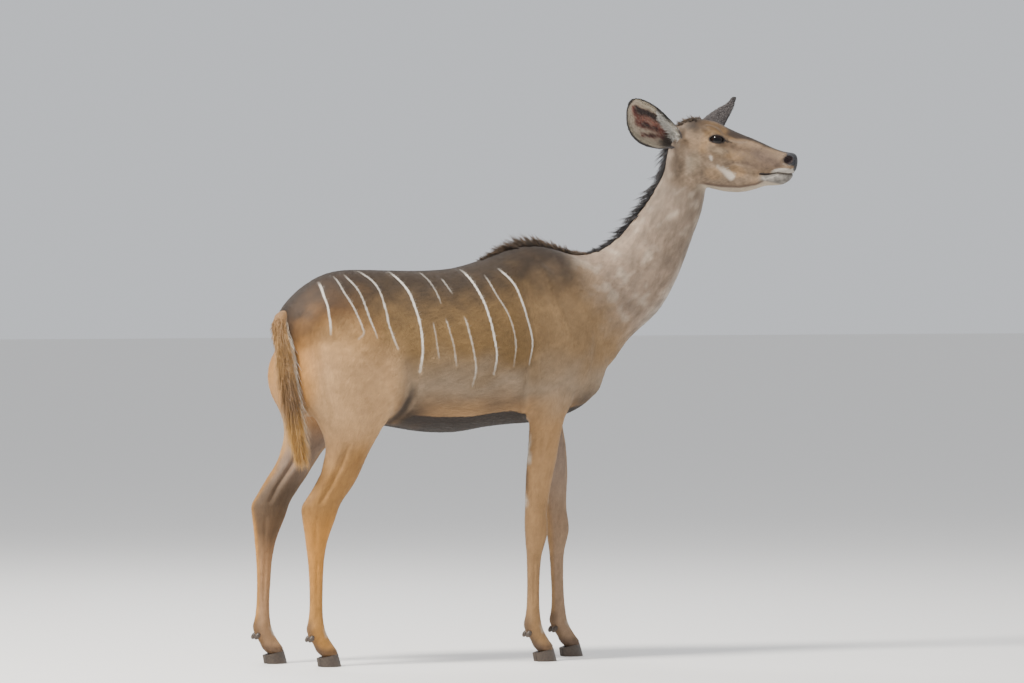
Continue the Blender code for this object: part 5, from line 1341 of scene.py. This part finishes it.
earPlan = {
    "wall": 0.0030, "across": 34, "steps": 5, "cup": 0.80,
    "strands": 13000, "sparse": 0.14,  # hairs drawn, and the share kept on the bare part of the lining
    # rows: share of the length, reach of the lower and upper edge, half the rolled angle in degrees, shift
    "right": {
        "length": 0.205, "aim": (-0.790, -0.249, 0.560), "face": (0.076, -0.947, -0.314),
        "root": (-0.043, -0.052, 0.022), "bow": 0.014,
        "rows": [(0.00, 0.022, 0.022, 130, 0), (0.10, 0.034, 0.029, 115, 0), (0.22, 0.052, 0.034, 92, 0),
                 (0.36, 0.068, 0.037, 72, 0), (0.50, 0.076, 0.0385, 60, 0), (0.64, 0.075, 0.037, 52, 0),
                 (0.77, 0.065, 0.032, 46, 0), (0.88, 0.047, 0.025, 42, 0), (0.96, 0.027, 0.016, 38, 0),
                 (1.00, 0.008, 0.004, 36, 0)],
    },
    "left": {
        "length": 0.210, "aim": (0.801, 0.171, 0.574), "face": (0.522, 0.259, -0.812),
        "root": (-0.016, 0.050, 0.040), "bow": 0.004,
        "rows": [(0.00, 0.022, 0.022, 130, 0), (0.12, 0.032, 0.028, 120, 0), (0.25, 0.044, 0.036, 100, 0),
                 (0.40, 0.048, 0.041, 80, -0.001), (0.55, 0.043, 0.038, 66, -0.002),
                 (0.70, 0.031, 0.027, 58, -0.006),
                 (0.80, 0.020, 0.017, 56, -0.010), (0.89, 0.012, 0.011, 54, -0.006),
                 (0.96, 0.010, 0.009, 52, 0.001),
                 (1.00, 0.006, 0.005, 50, 0.003)],
    },
    "backHex": "#504948", "rimHex": "#1f1917", "creamHex": "#a39784", "redHex": "#5c2a23",
    "foldShadeHex": "#190f0e",
    "pinkHex": "#8c5f4f", "whiteHex": "#dcd8d0",
    "folds": [  # colour, half width and softness across, then share along and place across
        ("pinkHex", 0.16, 0.14, [(0.86, -0.22), (0.70, -0.22), (0.50, -0.06), (0.33, 0.10), (0.20, 0.05)]),
        ("redHex", 0.10, 0.08, [(0.89, -0.19), (0.79, -0.30), (0.69, -0.30)]),
        ("redHex", 0.16, 0.09, [(0.66, -0.40), (0.54, -0.26), (0.42, -0.17), (0.30, -0.08), (0.19, 0.0)]),
        ("redHex", 0.10, 0.07, [(0.47, -0.60), (0.35, -0.45), (0.25, -0.31), (0.15, -0.21)]),
        ("redHex", 0.23, 0.09, [(0.80, -0.08), (0.61, 0.16), (0.49, 0.28), (0.36, 0.32)]),
        # near-black bands along the folds of the lining: painted shade in the folds
        ("foldShadeHex", 0.215, 0.12, [(0.80, -0.04), (0.71, 0.04), (0.61, 0.20), (0.49, 0.31), (0.37, 0.35)]),
        ("foldShadeHex", 0.07, 0.07, [(0.56, -0.28), (0.42, -0.19), (0.30, -0.10)]),
        ("foldShadeHex", 0.05, 0.06, [(0.40, -0.50), (0.25, -0.31)]),
    ],
    "fringe": [(0.00, 0.05), (0.11, 0.16), (0.25, 0.23), (0.38, 0.38), (0.50, 0.70), (0.56, 0.95)],
}


def earAxes(sideName):
    plan = earPlan[sideName]
    aim = Vector(plan["aim"]).normalized()
    facing = Vector(plan["face"])
    facing = (facing - aim * facing.dot(aim)).normalized()
    return headMatrix @ Vector(plan["root"]), aim, facing, aim.cross(facing).normalized()


def makeEar(sideName):
    root, aim, facing, acrossWay = earAxes(sideName)
    rows = smoothRows(earPlan[sideName]["rows"], earPlan["steps"])
    columns = earPlan["across"]
    bm = bmesh.new()
    bmesh.ops.create_grid(bm, x_segments=len(rows) - 1, y_segments=columns - 1, size=0.5)
    shareLayer = bm.verts.layers.float.new("share")
    acrossLayer = bm.verts.layers.float.new("across")
    for vert in bm.verts:
        row = rows[int(round((vert.co.x + 0.5) * (len(rows) - 1)))]
        t = vert.co.y * 2
        share, before, behind, rollDegrees, shift = row
        roll = math.radians(rollDegrees)
        radius = (before if t < 0 else behind) / math.sin(min(roll, math.pi / 2))
        angle = roll * t
        centre = root + aim * (earPlan[sideName]["length"] * share) + acrossWay * shift
        centre -= facing * (earPlan[sideName]["bow"] * math.sin(math.pi * share))
        lift = radius * (1 - math.cos(angle)) * earPlan["cup"]
        vert.co = centre + acrossWay * (radius * math.sin(angle)) + facing * lift
        vert[shareLayer] = share
        vert[acrossLayer] = t
    mesh = bpy.data.meshes.new("ear")
    bm.to_mesh(mesh)
    bm.free()
    ear = bpy.data.objects.new("ear" + sideName.title(), mesh)
    collection.objects.link(ear)
    wall = ear.modifiers.new("wall", "SOLIDIFY")
    wall.thickness = earPlan["wall"]
    wall.offset = 0.0
    ear.modifiers.new("triangles", "TRIANGULATE")
    applyAll(ear)
    bm = bmesh.new()
    bm.from_mesh(ear.data)
    bmesh.ops.recalc_face_normals(bm, faces=bm.faces)
    bm.to_mesh(ear.data)
    bm.free()
    ear.data.shade_smooth()
    return ear


def earValues(ear):
    count = len(ear.data.vertices)
    out = []
    for name in ("share", "across"):
        values = np.empty(count, np.float32)
        ear.data.attributes[name].data.foreach_get("value", values)
        out.append(values.astype(float))
    return out


def earColour(share, across, inside, points):
    fine = wobble(points, 0.03)
    colours = evenColour(earPlan["backHex"], len(points))
    lining = evenColour(earPlan["creamHex"], len(points))
    # long soft streaks run down to the root between the folds
    streaks = np.sin(across * 62 + 6 * wobble(points, 0.07)) * 0.35 + np.sin(across * 27 + 4) * 0.15 + 0.5
    lining = blend(lining, earPlan["pinkHex"], 0.30 * streaks * ramp(np.abs(across + 0.1), 0.75, 0.45))
    flat = np.stack([share * 2.5, across + 0.035 * fine], axis=1)
    for name, halfWidth, softness, line in earPlan["folds"]:
        gap, _ = distanceToLine(flat, [(s * 2.5, a) for s, a in line])
        onFold = ramp(gap + 0.05 * streaks, halfWidth + softness, halfWidth - softness)
        lining = blend(lining, earPlan[name], 0.95 * onFold)
    lining = blend(lining, earPlan["creamHex"], 0.20 * ramp(streaks, 0.55, 0.95))
    # painted shade deep in the root of the lining
    lining = blend(lining, earPlan["foldShadeHex"], 0.9 * ramp(share, 0.24, 0.10) * (across < 0.1))
    colours += (lining - colours) * inside[:, None]
    colours = blend(colours, earPlan["rimHex"], 0.55 * ramp(share, 0.80, 0.97) * (1 - inside))
    rim = np.maximum(ramp(np.abs(across), 0.90, 0.965) * ramp(share, 0.16, 0.34), ramp(share, 0.955, 0.98))
    return blend(colours, earPlan["rimHex"], rim * 0.96)


def fringeEar(sideName, ear):
    aim, facing, acrossWay = (np.array(way) for way in earAxes(sideName)[1:])
    points, normals, faces = meshArrays(ear)
    share, across = earValues(ear)
    rows = smoothRows(earPlan[sideName]["rows"], 12)
    # which side of the sheet a vertex is on: the lining faces its own roll's axis
    rolls = np.interp(share, [r[0] for r in rows], [math.radians(r[3]) for r in rows])
    angle = rolls * across
    inward = facing * np.cos(angle)[:, None] - acrossWay * np.sin(angle)[:, None]
    inside = (np.sum(normals * inward, axis=1) > 0).astype(float)
    paint(ear.data, "coatColour", earColour(share, across, inside, points) * hideShade["ear"])
    count = earPlan["strands"]
    area = faceAreas(points[faces])
    chosen = draw.choice(len(faces), count, p=area / area.sum())
    shares, places, ups = randomSpots(points, normals, faces, chosen)
    s, t, within = (np.einsum("nk,nk->n", shares, values[faces[chosen]])
                    for values in (share, across, inside))
    inFringe = (within > 0.5) & (t > np.interp(s, *zip(*earPlan["fringe"]))) & (s < 0.56)
    keep = (within < 0.5) | inFringe | (np.abs(t) > 0.72) | (draw.random(count) < earPlan["sparse"])
    places, ups, s, t, within, inFringe = (v[keep] for v in (places, ups, s, t, within, inFringe))
    count = len(places)
    along = aim - ups * (ups @ aim)[:, None]
    inwards = -acrossWay * np.sign(t)[:, None]
    inwards = inwards - ups * np.sum(ups * inwards, axis=1, keepdims=True)
    ways = unit(along + inwards * (inFringe * 0.75)[:, None] + draw.normal(0, 0.12, (count, 3)))
    lift = np.radians(np.where(inFringe, draw.uniform(10, 34, count), draw.uniform(3, 8, count)))[:, None]
    ways = unit(ways * np.cos(lift) + ups * np.sin(lift))
    whiten = inFringe * ramp(np.abs(t), 0.98, 0.93)
    colours = blend(earColour(s, t, within, places), earPlan["whiteHex"], whiten)
    colours *= (1.0 + draw.normal(0.0, 0.08, count))[:, None]
    lengths = np.where(inFringe, 0.021 * (1.1 - s), 0.0085) * draw.uniform(0.7, 1.2, count)
    lengths *= 1 - 0.45 * ramp(s, 0.75, 1.0)
    rect = bakeParts[7 if sideName == "right" else 8]
    bake = np.stack([rect[0] + rect[2] * (t + 1) / 2, rect[1] + rect[3] * (0.5 * within + 0.5 * s)], axis=1)
    coatPieces.append(hairMesh(
        "earHair" + sideName.title(), places, ways, ups, lengths, np.where(inFringe, 0.0011, 0.0016),
        np.full(count, 0.0007), colours, bake, rings=2, tipLight=1.05, rootShade=0.92))


ears = {}
for sideName in sides:
    ears[sideName] = makeEar(sideName)
    fringeEar(sideName, ears[sideName])
print("ears made")


# tail

tailPlan = {
    "rows": [  # x, y, z and radius of the dock down to the tip
        (-0.480, 0.000, 1.030, 0.021), (-0.511, -0.022, 1.024, 0.0215), (-0.525, -0.052, 0.990, 0.0205),
        (-0.526, -0.080, 0.950, 0.0190), (-0.522, -0.098, 0.880, 0.0165), (-0.513, -0.108, 0.800, 0.0135),
        (-0.500, -0.110, 0.720, 0.0095), (-0.486, -0.104, 0.655, 0.0040),
    ],
    "strands": 5600, "length": 0.088, "width": 0.0017,
    "topHex": "#a37d4c", "whiteHex": "#d5cabb", "tipHex": "#bf914c", "rootHex": "#85623b",
    "midHex": "#7f6040",
}


def makeTail():
    rows = smoothRows(tailPlan["rows"], 3)
    spots = [Vector(row[:3]) for row in rows]
    rings = []
    for i, row in enumerate(rows):
        way = (spots[min(i + 1, len(rows) - 1)] - spots[max(i - 1, 0)]).normalized()
        side = Vector((0, 1, 0))
        side = (side - way * side.dot(way)).normalized()
        rings.append(ringPoints(spots[i], side, way.cross(side), row[3] * 1.05, row[3], count=20))
    bm = bmesh.new()
    addLoft(bm, rings)
    bmesh.ops.triangulate(bm, faces=bm.faces)
    tail = objectFrom("tailDock", bm)
    tail.data.shade_smooth()
    table = np.array(rows)
    steps = lengthsAlong(table[:, :3])
    shares = steps / steps[-1]

    def tailColour(share, whiteness, points):
        base = blend(evenColour(tailPlan["rootHex"], len(share)), tailPlan["topHex"], ramp(share, 0.1, 0.35))
        uneven = share + 0.04 * wobble(points, 0.03)
        for name, start, full in (("midHex", 0.40, 0.60), ("tipHex", 0.66, 0.86)):
            base = blend(base, tailPlan[name], ramp(uneven, start, full) * 0.85)
        return blend(base, tailPlan["whiteHex"], whiteness * (1 - 0.8 * ramp(share, 0.72, 0.95)))

    def whitenessOf(outWay):
        # the underside of the tail, which lies towards the buttocks and the far side
        return ramp(outWay @ np.array((0.80, 0.45, 0.0)), 0.05, 0.55)

    points, normals, _ = meshArrays(tail)
    nearest = np.argmin(((points[:, None, :] - table[None, :, :3]) ** 2).sum(axis=2), axis=1)
    paint(tail.data, "coatColour",
          tailColour(shares[nearest], whitenessOf(normals), points) * hideShade["tail"])

    count = tailPlan["strands"]
    t = 0.10 + 0.90 * draw.random(count) ** 0.80
    centre = alongLine(t, shares, table)
    radius = np.interp(t, shares, table[:, 3])
    ahead = np.minimum(t + 0.02, 1)
    way = unit(alongLine(ahead, shares, table) - alongLine(ahead - 0.04, shares, table))
    side = unit(np.array((0.0, 1.0, 0.0))[None] - way * way[:, 1:2])
    other = np.cross(way, side)
    turn = draw.uniform(0, 6.283, count)[:, None]
    outWay = side * np.cos(turn) + other * np.sin(turn)
    roots = centre + outWay * (radius * 0.85)[:, None]
    ways = unit(way + outWay * draw.uniform(0.10, 0.36, count)[:, None] + draw.normal(0, 0.07, (count, 3)))
    bends = -outWay * draw.uniform(0.04, 0.20, count)[:, None]
    lengths = tailPlan["length"] * draw.uniform(0.65, 1.1, count) * (0.45 + 0.65 * ramp(t, 0.0, 0.5))
    lengths *= 1 - 0.12 * ramp(t, 0.9, 1.0)
    colours = tailColour(np.clip(t + 0.06, 0, 1), whitenessOf(outWay), roots)
    colours *= (1.0 + draw.normal(0.0, 0.10, count))[:, None]
    rect = bakeParts[9]
    bake = np.stack([rect[0] + rect[2] * turn[:, 0] / 6.283, rect[1] + rect[3] * t], axis=1)
    coatPieces.append(hairMesh(
        "tailHair", roots, ways, outWay, lengths, np.full(count, tailPlan["width"]), np.full(count, 0.0011),
        colours, bake, rings=4, bends=bends))
    return tail


tail = makeTail()
print("tail made")


# eyes


def makeEye(sideName):
    centre, out, forward, up = eyeAxes(sides[sideName])
    bm = bmesh.new()
    turn = Matrix((forward, up, out)).transposed().to_4x4()
    bmesh.ops.create_uvsphere(bm, u_segments=56, v_segments=36, radius=eyePlan["radius"],
                              matrix=Matrix.Translation(centre) @ turn)
    eye = objectFrom("eye" + sideName.title(), bm)
    points = meshArrays(eye)[0]
    away = unit(points - np.array(centre))
    a, b, c = away @ np.array(forward), away @ np.array(up), away @ np.array(out)
    radial = np.hypot(a, b)
    inPupil = np.hypot(a / eyePlan["pupil"][0], b / eyePlan["pupil"][1])
    bulge = 0.0011 * ramp(radial, 0.75, 0.30) * (c > 0)
    setPoints(eye, points + away * bulge[:, None])
    colours = evenColour(eyePlan["irisHex"], len(points))
    for name, gap, start, full in (("edgeHex", radial, 0.84, 0.74), ("ringHex", radial, 0.72, 0.62),
                                   ("pupilHex", inPupil, 1.05, 0.85)):
        colours = blend(colours, eyePlan[name], ramp(gap, start, full) * (c > 0))
    paint(eye.data, "eyeColour", colours)
    eye.data.shade_smooth()
    return eye


eyes = {sideName: makeEye(sideName) for sideName in sides}
print("eyes made")


# materials


def addNode(tree, kind, values=None, links=None, **settings):
    node = tree.nodes.new(kind)
    for name, value in settings.items():
        setattr(node, name, value)
    for socket, value in (values or {}).items():
        node.inputs[socket].default_value = value
    for socket, source in (links or {}).items():
        tree.links.new(source, node.inputs[socket])
    return node


def startMaterial(name, roughness, specular=0.5):
    material = bpy.data.materials.new(name)
    material.use_nodes = True
    tree = material.node_tree
    shader = tree.nodes["Principled BSDF"]
    shader.inputs["Roughness"].default_value = roughness
    shader.inputs["Specular IOR Level"].default_value = specular
    return material, tree, shader


def hairyMaterial(name, roughness, bumpMetres, strength):
    # deer-like hair: dull, a little shine along the strands, darker where the undercoat shows
    material, tree, shader = startMaterial(name, roughness, 0.35)
    place = addNode(tree, "ShaderNodeTexCoord").outputs["Object"]
    painted = addNode(tree, "ShaderNodeAttribute", attribute_name="coatColour")
    # clumps of hair about 12 mm apart, drawn out along the body
    drawnOut = addNode(tree, "ShaderNodeMapping", {"Scale": (0.35, 1.0, 0.7)}, {"Vector": place})
    clumps = addNode(tree, "ShaderNodeTexNoise", {"Scale": 85.0, "Detail": 4.0, "Roughness": 0.6},
                     {"Vector": drawnOut.outputs[0]})
    shade = addNode(tree, "ShaderNodeMapRange",
                    {"From Min": 0.3, "From Max": 0.7, "To Min": 0.92, "To Max": 1.07},
                    {"Value": clumps.outputs[0]})
    tinted = addNode(tree, "ShaderNodeMix", {"Factor": 1.0}, data_type="RGBA", blend_type="MULTIPLY")
    tree.links.new(painted.outputs["Color"], tinted.inputs["A"])
    tree.links.new(shade.outputs[0], tinted.inputs["B"])
    tree.links.new(tinted.outputs["Result"], shader.inputs["Base Color"])
    # single hairs about 1.5 mm apart
    hairs = addNode(tree, "ShaderNodeTexNoise", {"Scale": 620.0, "Detail": 2.0},
                    {"Vector": drawnOut.outputs[0]})
    bump = addNode(tree, "ShaderNodeBump", {"Strength": strength, "Distance": bumpMetres},
                   {"Height": hairs.outputs[0]})
    tree.links.new(bump.outputs[0], shader.inputs["Normal"])
    shader.inputs["Sheen Weight"].default_value = 0.12
    shader.inputs["Sheen Roughness"].default_value = 0.5
    return material


skinMaterial = hairyMaterial("short hair close to the hide", 0.72, 0.0012, 0.6)
tuftMaterial = hairyMaterial("kudu hair in tufts", 0.62, 0.0006, 0.25)

# the eye is wet and almost black, so it shows little but one small bright reflection
eyeMaterial, tree, shader = startMaterial("wet eyeball", 0.05, 0.5)
eyePaint = addNode(tree, "ShaderNodeAttribute", attribute_name="eyeColour")
tree.links.new(eyePaint.outputs["Color"], shader.inputs["Base Color"])
shader.inputs["IOR"].default_value = 1.376

# hoof horn: grown in thin rings about 3 mm apart, dark and grainy
hornMaterial, tree, shader = startMaterial("hoof horn", 0.42, 0.5)
place = addNode(tree, "ShaderNodeTexCoord").outputs["Object"]
ringWaves = addNode(tree, "ShaderNodeTexWave", {"Scale": 105.0, "Distortion": 1.5, "Detail": 2.0},
                    {"Vector": place}, wave_type="BANDS", bands_direction="Z")
grain = addNode(tree, "ShaderNodeTexNoise", {"Scale": 160.0, "Detail": 4.0}, {"Vector": place})
tone = addNode(tree, "ShaderNodeValToRGB", None, {"Fac": grain.outputs[0]})
tone.color_ramp.elements[0].color = (*linear("#2a2420"), 1)
tone.color_ramp.elements[1].color = (*linear("#5a4d42"), 1)
tree.links.new(tone.outputs[0], shader.inputs["Base Color"])
bump = addNode(tree, "ShaderNodeBump", {"Strength": 0.35, "Distance": 0.0006},
               {"Height": ringWaves.outputs[0]})
tree.links.new(bump.outputs[0], shader.inputs["Normal"])


# claws and dewclaws


def clawOutline(heelX, scale, shift):
    # one claw from above, as x and distance from the middle of the cleft: bowed outside, nearly flat inside
    outline = []
    length = hoofPlan["length"] * scale
    start = heelX + shift
    for i in range(hoofPlan["outside"]):
        t = i / (hoofPlan["outside"] - 1)
        bow = max(0.0, math.sin(math.pi * min(1.0, 0.16 + 0.84 * t) ** 1.15)) ** 0.75
        outline.append((start + length * t,
                        hoofPlan["cleft"] + hoofPlan["halfWidth"] * scale * bow * (1 - 0.12 * t)))
    for i in range(hoofPlan["inside"], 0, -1):
        t = i / (hoofPlan["inside"] + 1)
        outline.append((start + length * t, hoofPlan["cleft"] + 0.0015 * t))
    return outline


def makeClaw(kind, sideName, which):
    name = f"{kind}_{sideName}_{which}"
    side = sides[sideName]
    away = -side if which == "inner" else side
    heelX = cadBox("hoof_" + name)[1].x - hoofPlan["length"]
    rings = []
    # height share, then how much the horn is drawn in: rounded at the sole and rippled with growth above
    for k, share in enumerate((0.0, 0.03, 0.08, 0.17, 0.26, 0.35, 0.44, 0.53, 0.62, 0.71, 0.80, 0.89, 1.0)):
        drawnIn = 0.045 if k == 0 else 0.014 if k == 1 else 0.0
        ripple = 0.006 * (k % 2) * (0.3 + 0.7 * share) if k > 2 else 0.0
        scale = 1 - (1 - hoofPlan["topShare"]) * share - drawnIn - ripple
        shift = hoofPlan["topShift"] * share + hoofPlan["length"] * (drawnIn + ripple) / 2
        rings.append([Vector((x, side * legRows[kind][-1][3] + away * off, coronetHeight(x, heelX) * share))
                      for x, off in clawOutline(heelX, scale, shift)])
    bm = bmesh.new()
    addLoft(bm, rings)
    claw = objectFrom("claw_" + name, bm)
    claw.data.shade_smooth()
    claw.data.set_sharp_from_angle(angle=math.radians(42))
    return claw


def makeDewclaw(kind, sideName, which):
    name = f"{kind}_{sideName}_{which}"
    low, high = cadBox("dewclaw_" + name)
    middle = (low + high) / 2
    way = Vector(hoofPlan["dewclawWay"]).normalized()
    bm = bmesh.new()
    turn = way.to_track_quat("Z", "Y").to_matrix().to_4x4()
    bmesh.ops.create_uvsphere(bm, u_segments=24, v_segments=16, radius=1.0, matrix=(
        Matrix.Translation(middle) @ turn @ Matrix.Diagonal((*hoofPlan["dewclawRadii"], 1.0))))
    dewclaw = objectFrom("dewHorn_" + name, bm)
    dewclaw.data.shade_smooth()
    return dewclaw


horns = {}
for kind in legRows:
    for sideName in sides:
        for which in ("inner", "outer"):
            horns[f"hoof_{kind}_{sideName}_{which}"] = makeClaw(kind, sideName, which)
            horns[f"dewclaw_{kind}_{sideName}_{which}"] = makeDewclaw(kind, sideName, which)
print("hooves made:", len(horns))


# hand over to the frame


def dress(obj, material, replaced=()):
    obj.data.materials.clear()
    obj.data.materials.append(material)
    obj.data.transform(Matrix.Translation(placeShift))
    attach(obj, "root")
    if replaced:
        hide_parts(*replaced)


legNodes = [f"{kind}_{sideName}_{half}" for kind in legRows for sideName in sides
            for half in ("upper", "lower")]
dress(skin, skinMaterial, ["torso", "neck", "head"] + legNodes)
dress(tail, skinMaterial, ["tail"])
for sideName in sides:
    dress(ears[sideName], skinMaterial, ["ear_" + sideName])
    dress(eyes[sideName], eyeMaterial, ["eye_" + sideName])
for piece in coatPieces:
    dress(piece, tuftMaterial)
for name, horn in horns.items():
    dress(horn, hornMaterial, [name])


# studio

studioPlan = {"floorHex": "#efedea", "floorSize": 60.0, "worldHex": "#e6e9ee", "worldStrength": 0.86}
cameraPlan = {  # the photo's view: turned from the side, and its scale on a picture of that width in pixels
    "turn": 22, "aim": (-0.0467, -0.0425, 0.955), "distance": 20.0, "height": 1.27, "sensor": 36.0,
    "imageWidth": 1024, "metresPerPixel": 0.00298, "clipEnd": 200.0,
}
lightPlan = {  # place from the aim (right, towards the camera, up), size, power, colour, seen in the eyes
    "keyLight": ((-3.0, 2.4, 5.0), 1.7, 820, (1.0, 0.965, 0.90), True),
    "fillLight": ((4.0, 4.5, 1.6), 4.0, 60, (1.0, 1.0, 1.0), False),
    "rimLight": ((-1.5, -4.0, 4.2), 2.5, 180, (1.0, 1.0, 1.0), False),
}
bm = bmesh.new()
bmesh.ops.create_grid(bm, x_segments=1, y_segments=1, size=studioPlan["floorSize"])
floor = objectFrom("studioFloor", bm)
floorMaterial, tree, shader = startMaterial("matt pale floor paint", 0.9, 0.2)
shader.inputs["Base Color"].default_value = (*linear(studioPlan["floorHex"]), 1)
floor.data.materials.append(floorMaterial)

scene = bpy.context.scene
scene.world = scene.world or bpy.data.worlds.new("studio")
scene.world.use_nodes = True
background = scene.world.node_tree.nodes["Background"]
background.inputs[0].default_value = (*linear(studioPlan["worldHex"]), 1)
background.inputs[1].default_value = studioPlan["worldStrength"]

photoTurn = math.radians(cameraPlan["turn"])
aim = Vector(cameraPlan["aim"])
rightWay = Vector((math.cos(photoTurn), -math.sin(photoTurn), 0.0))
awayWay = Vector((math.sin(photoTurn), math.cos(photoTurn), 0.0))


def lookAtAim(obj):
    obj.rotation_mode = "QUATERNION"
    obj.rotation_quaternion = (aim - obj.location).to_track_quat("-Z", "Y")
    collection.objects.link(obj)


for name, ((across, towards, height), size, power, colour, shows) in lightPlan.items():
    lamp = bpy.data.lights.new(name, "AREA")
    lamp.shape, lamp.size, lamp.energy, lamp.color = "DISK", size, power, colour
    light = bpy.data.objects.new(name, lamp)
    light.location = aim + rightWay * across - awayWay * towards + Vector((0, 0, height))
    light.visible_glossy = shows
    lookAtAim(light)

camera = bpy.data.objects.new("photoCamera", bpy.data.cameras.new("photoCamera"))
distance = cameraPlan["distance"]
camera.location = (aim.x - distance * math.sin(photoTurn), aim.y - distance * math.cos(photoTurn),
                   cameraPlan["height"])
lookAtAim(camera)
camera.data.sensor_width = cameraPlan["sensor"]
camera.data.lens = cameraPlan["sensor"] * distance / (cameraPlan["imageWidth"] * cameraPlan["metresPerPixel"])
camera.data.clip_end = cameraPlan["clipEnd"]
scene.camera = camera

print("cad", [round(v, 4) for v in (*cadLow, *cadHigh)])
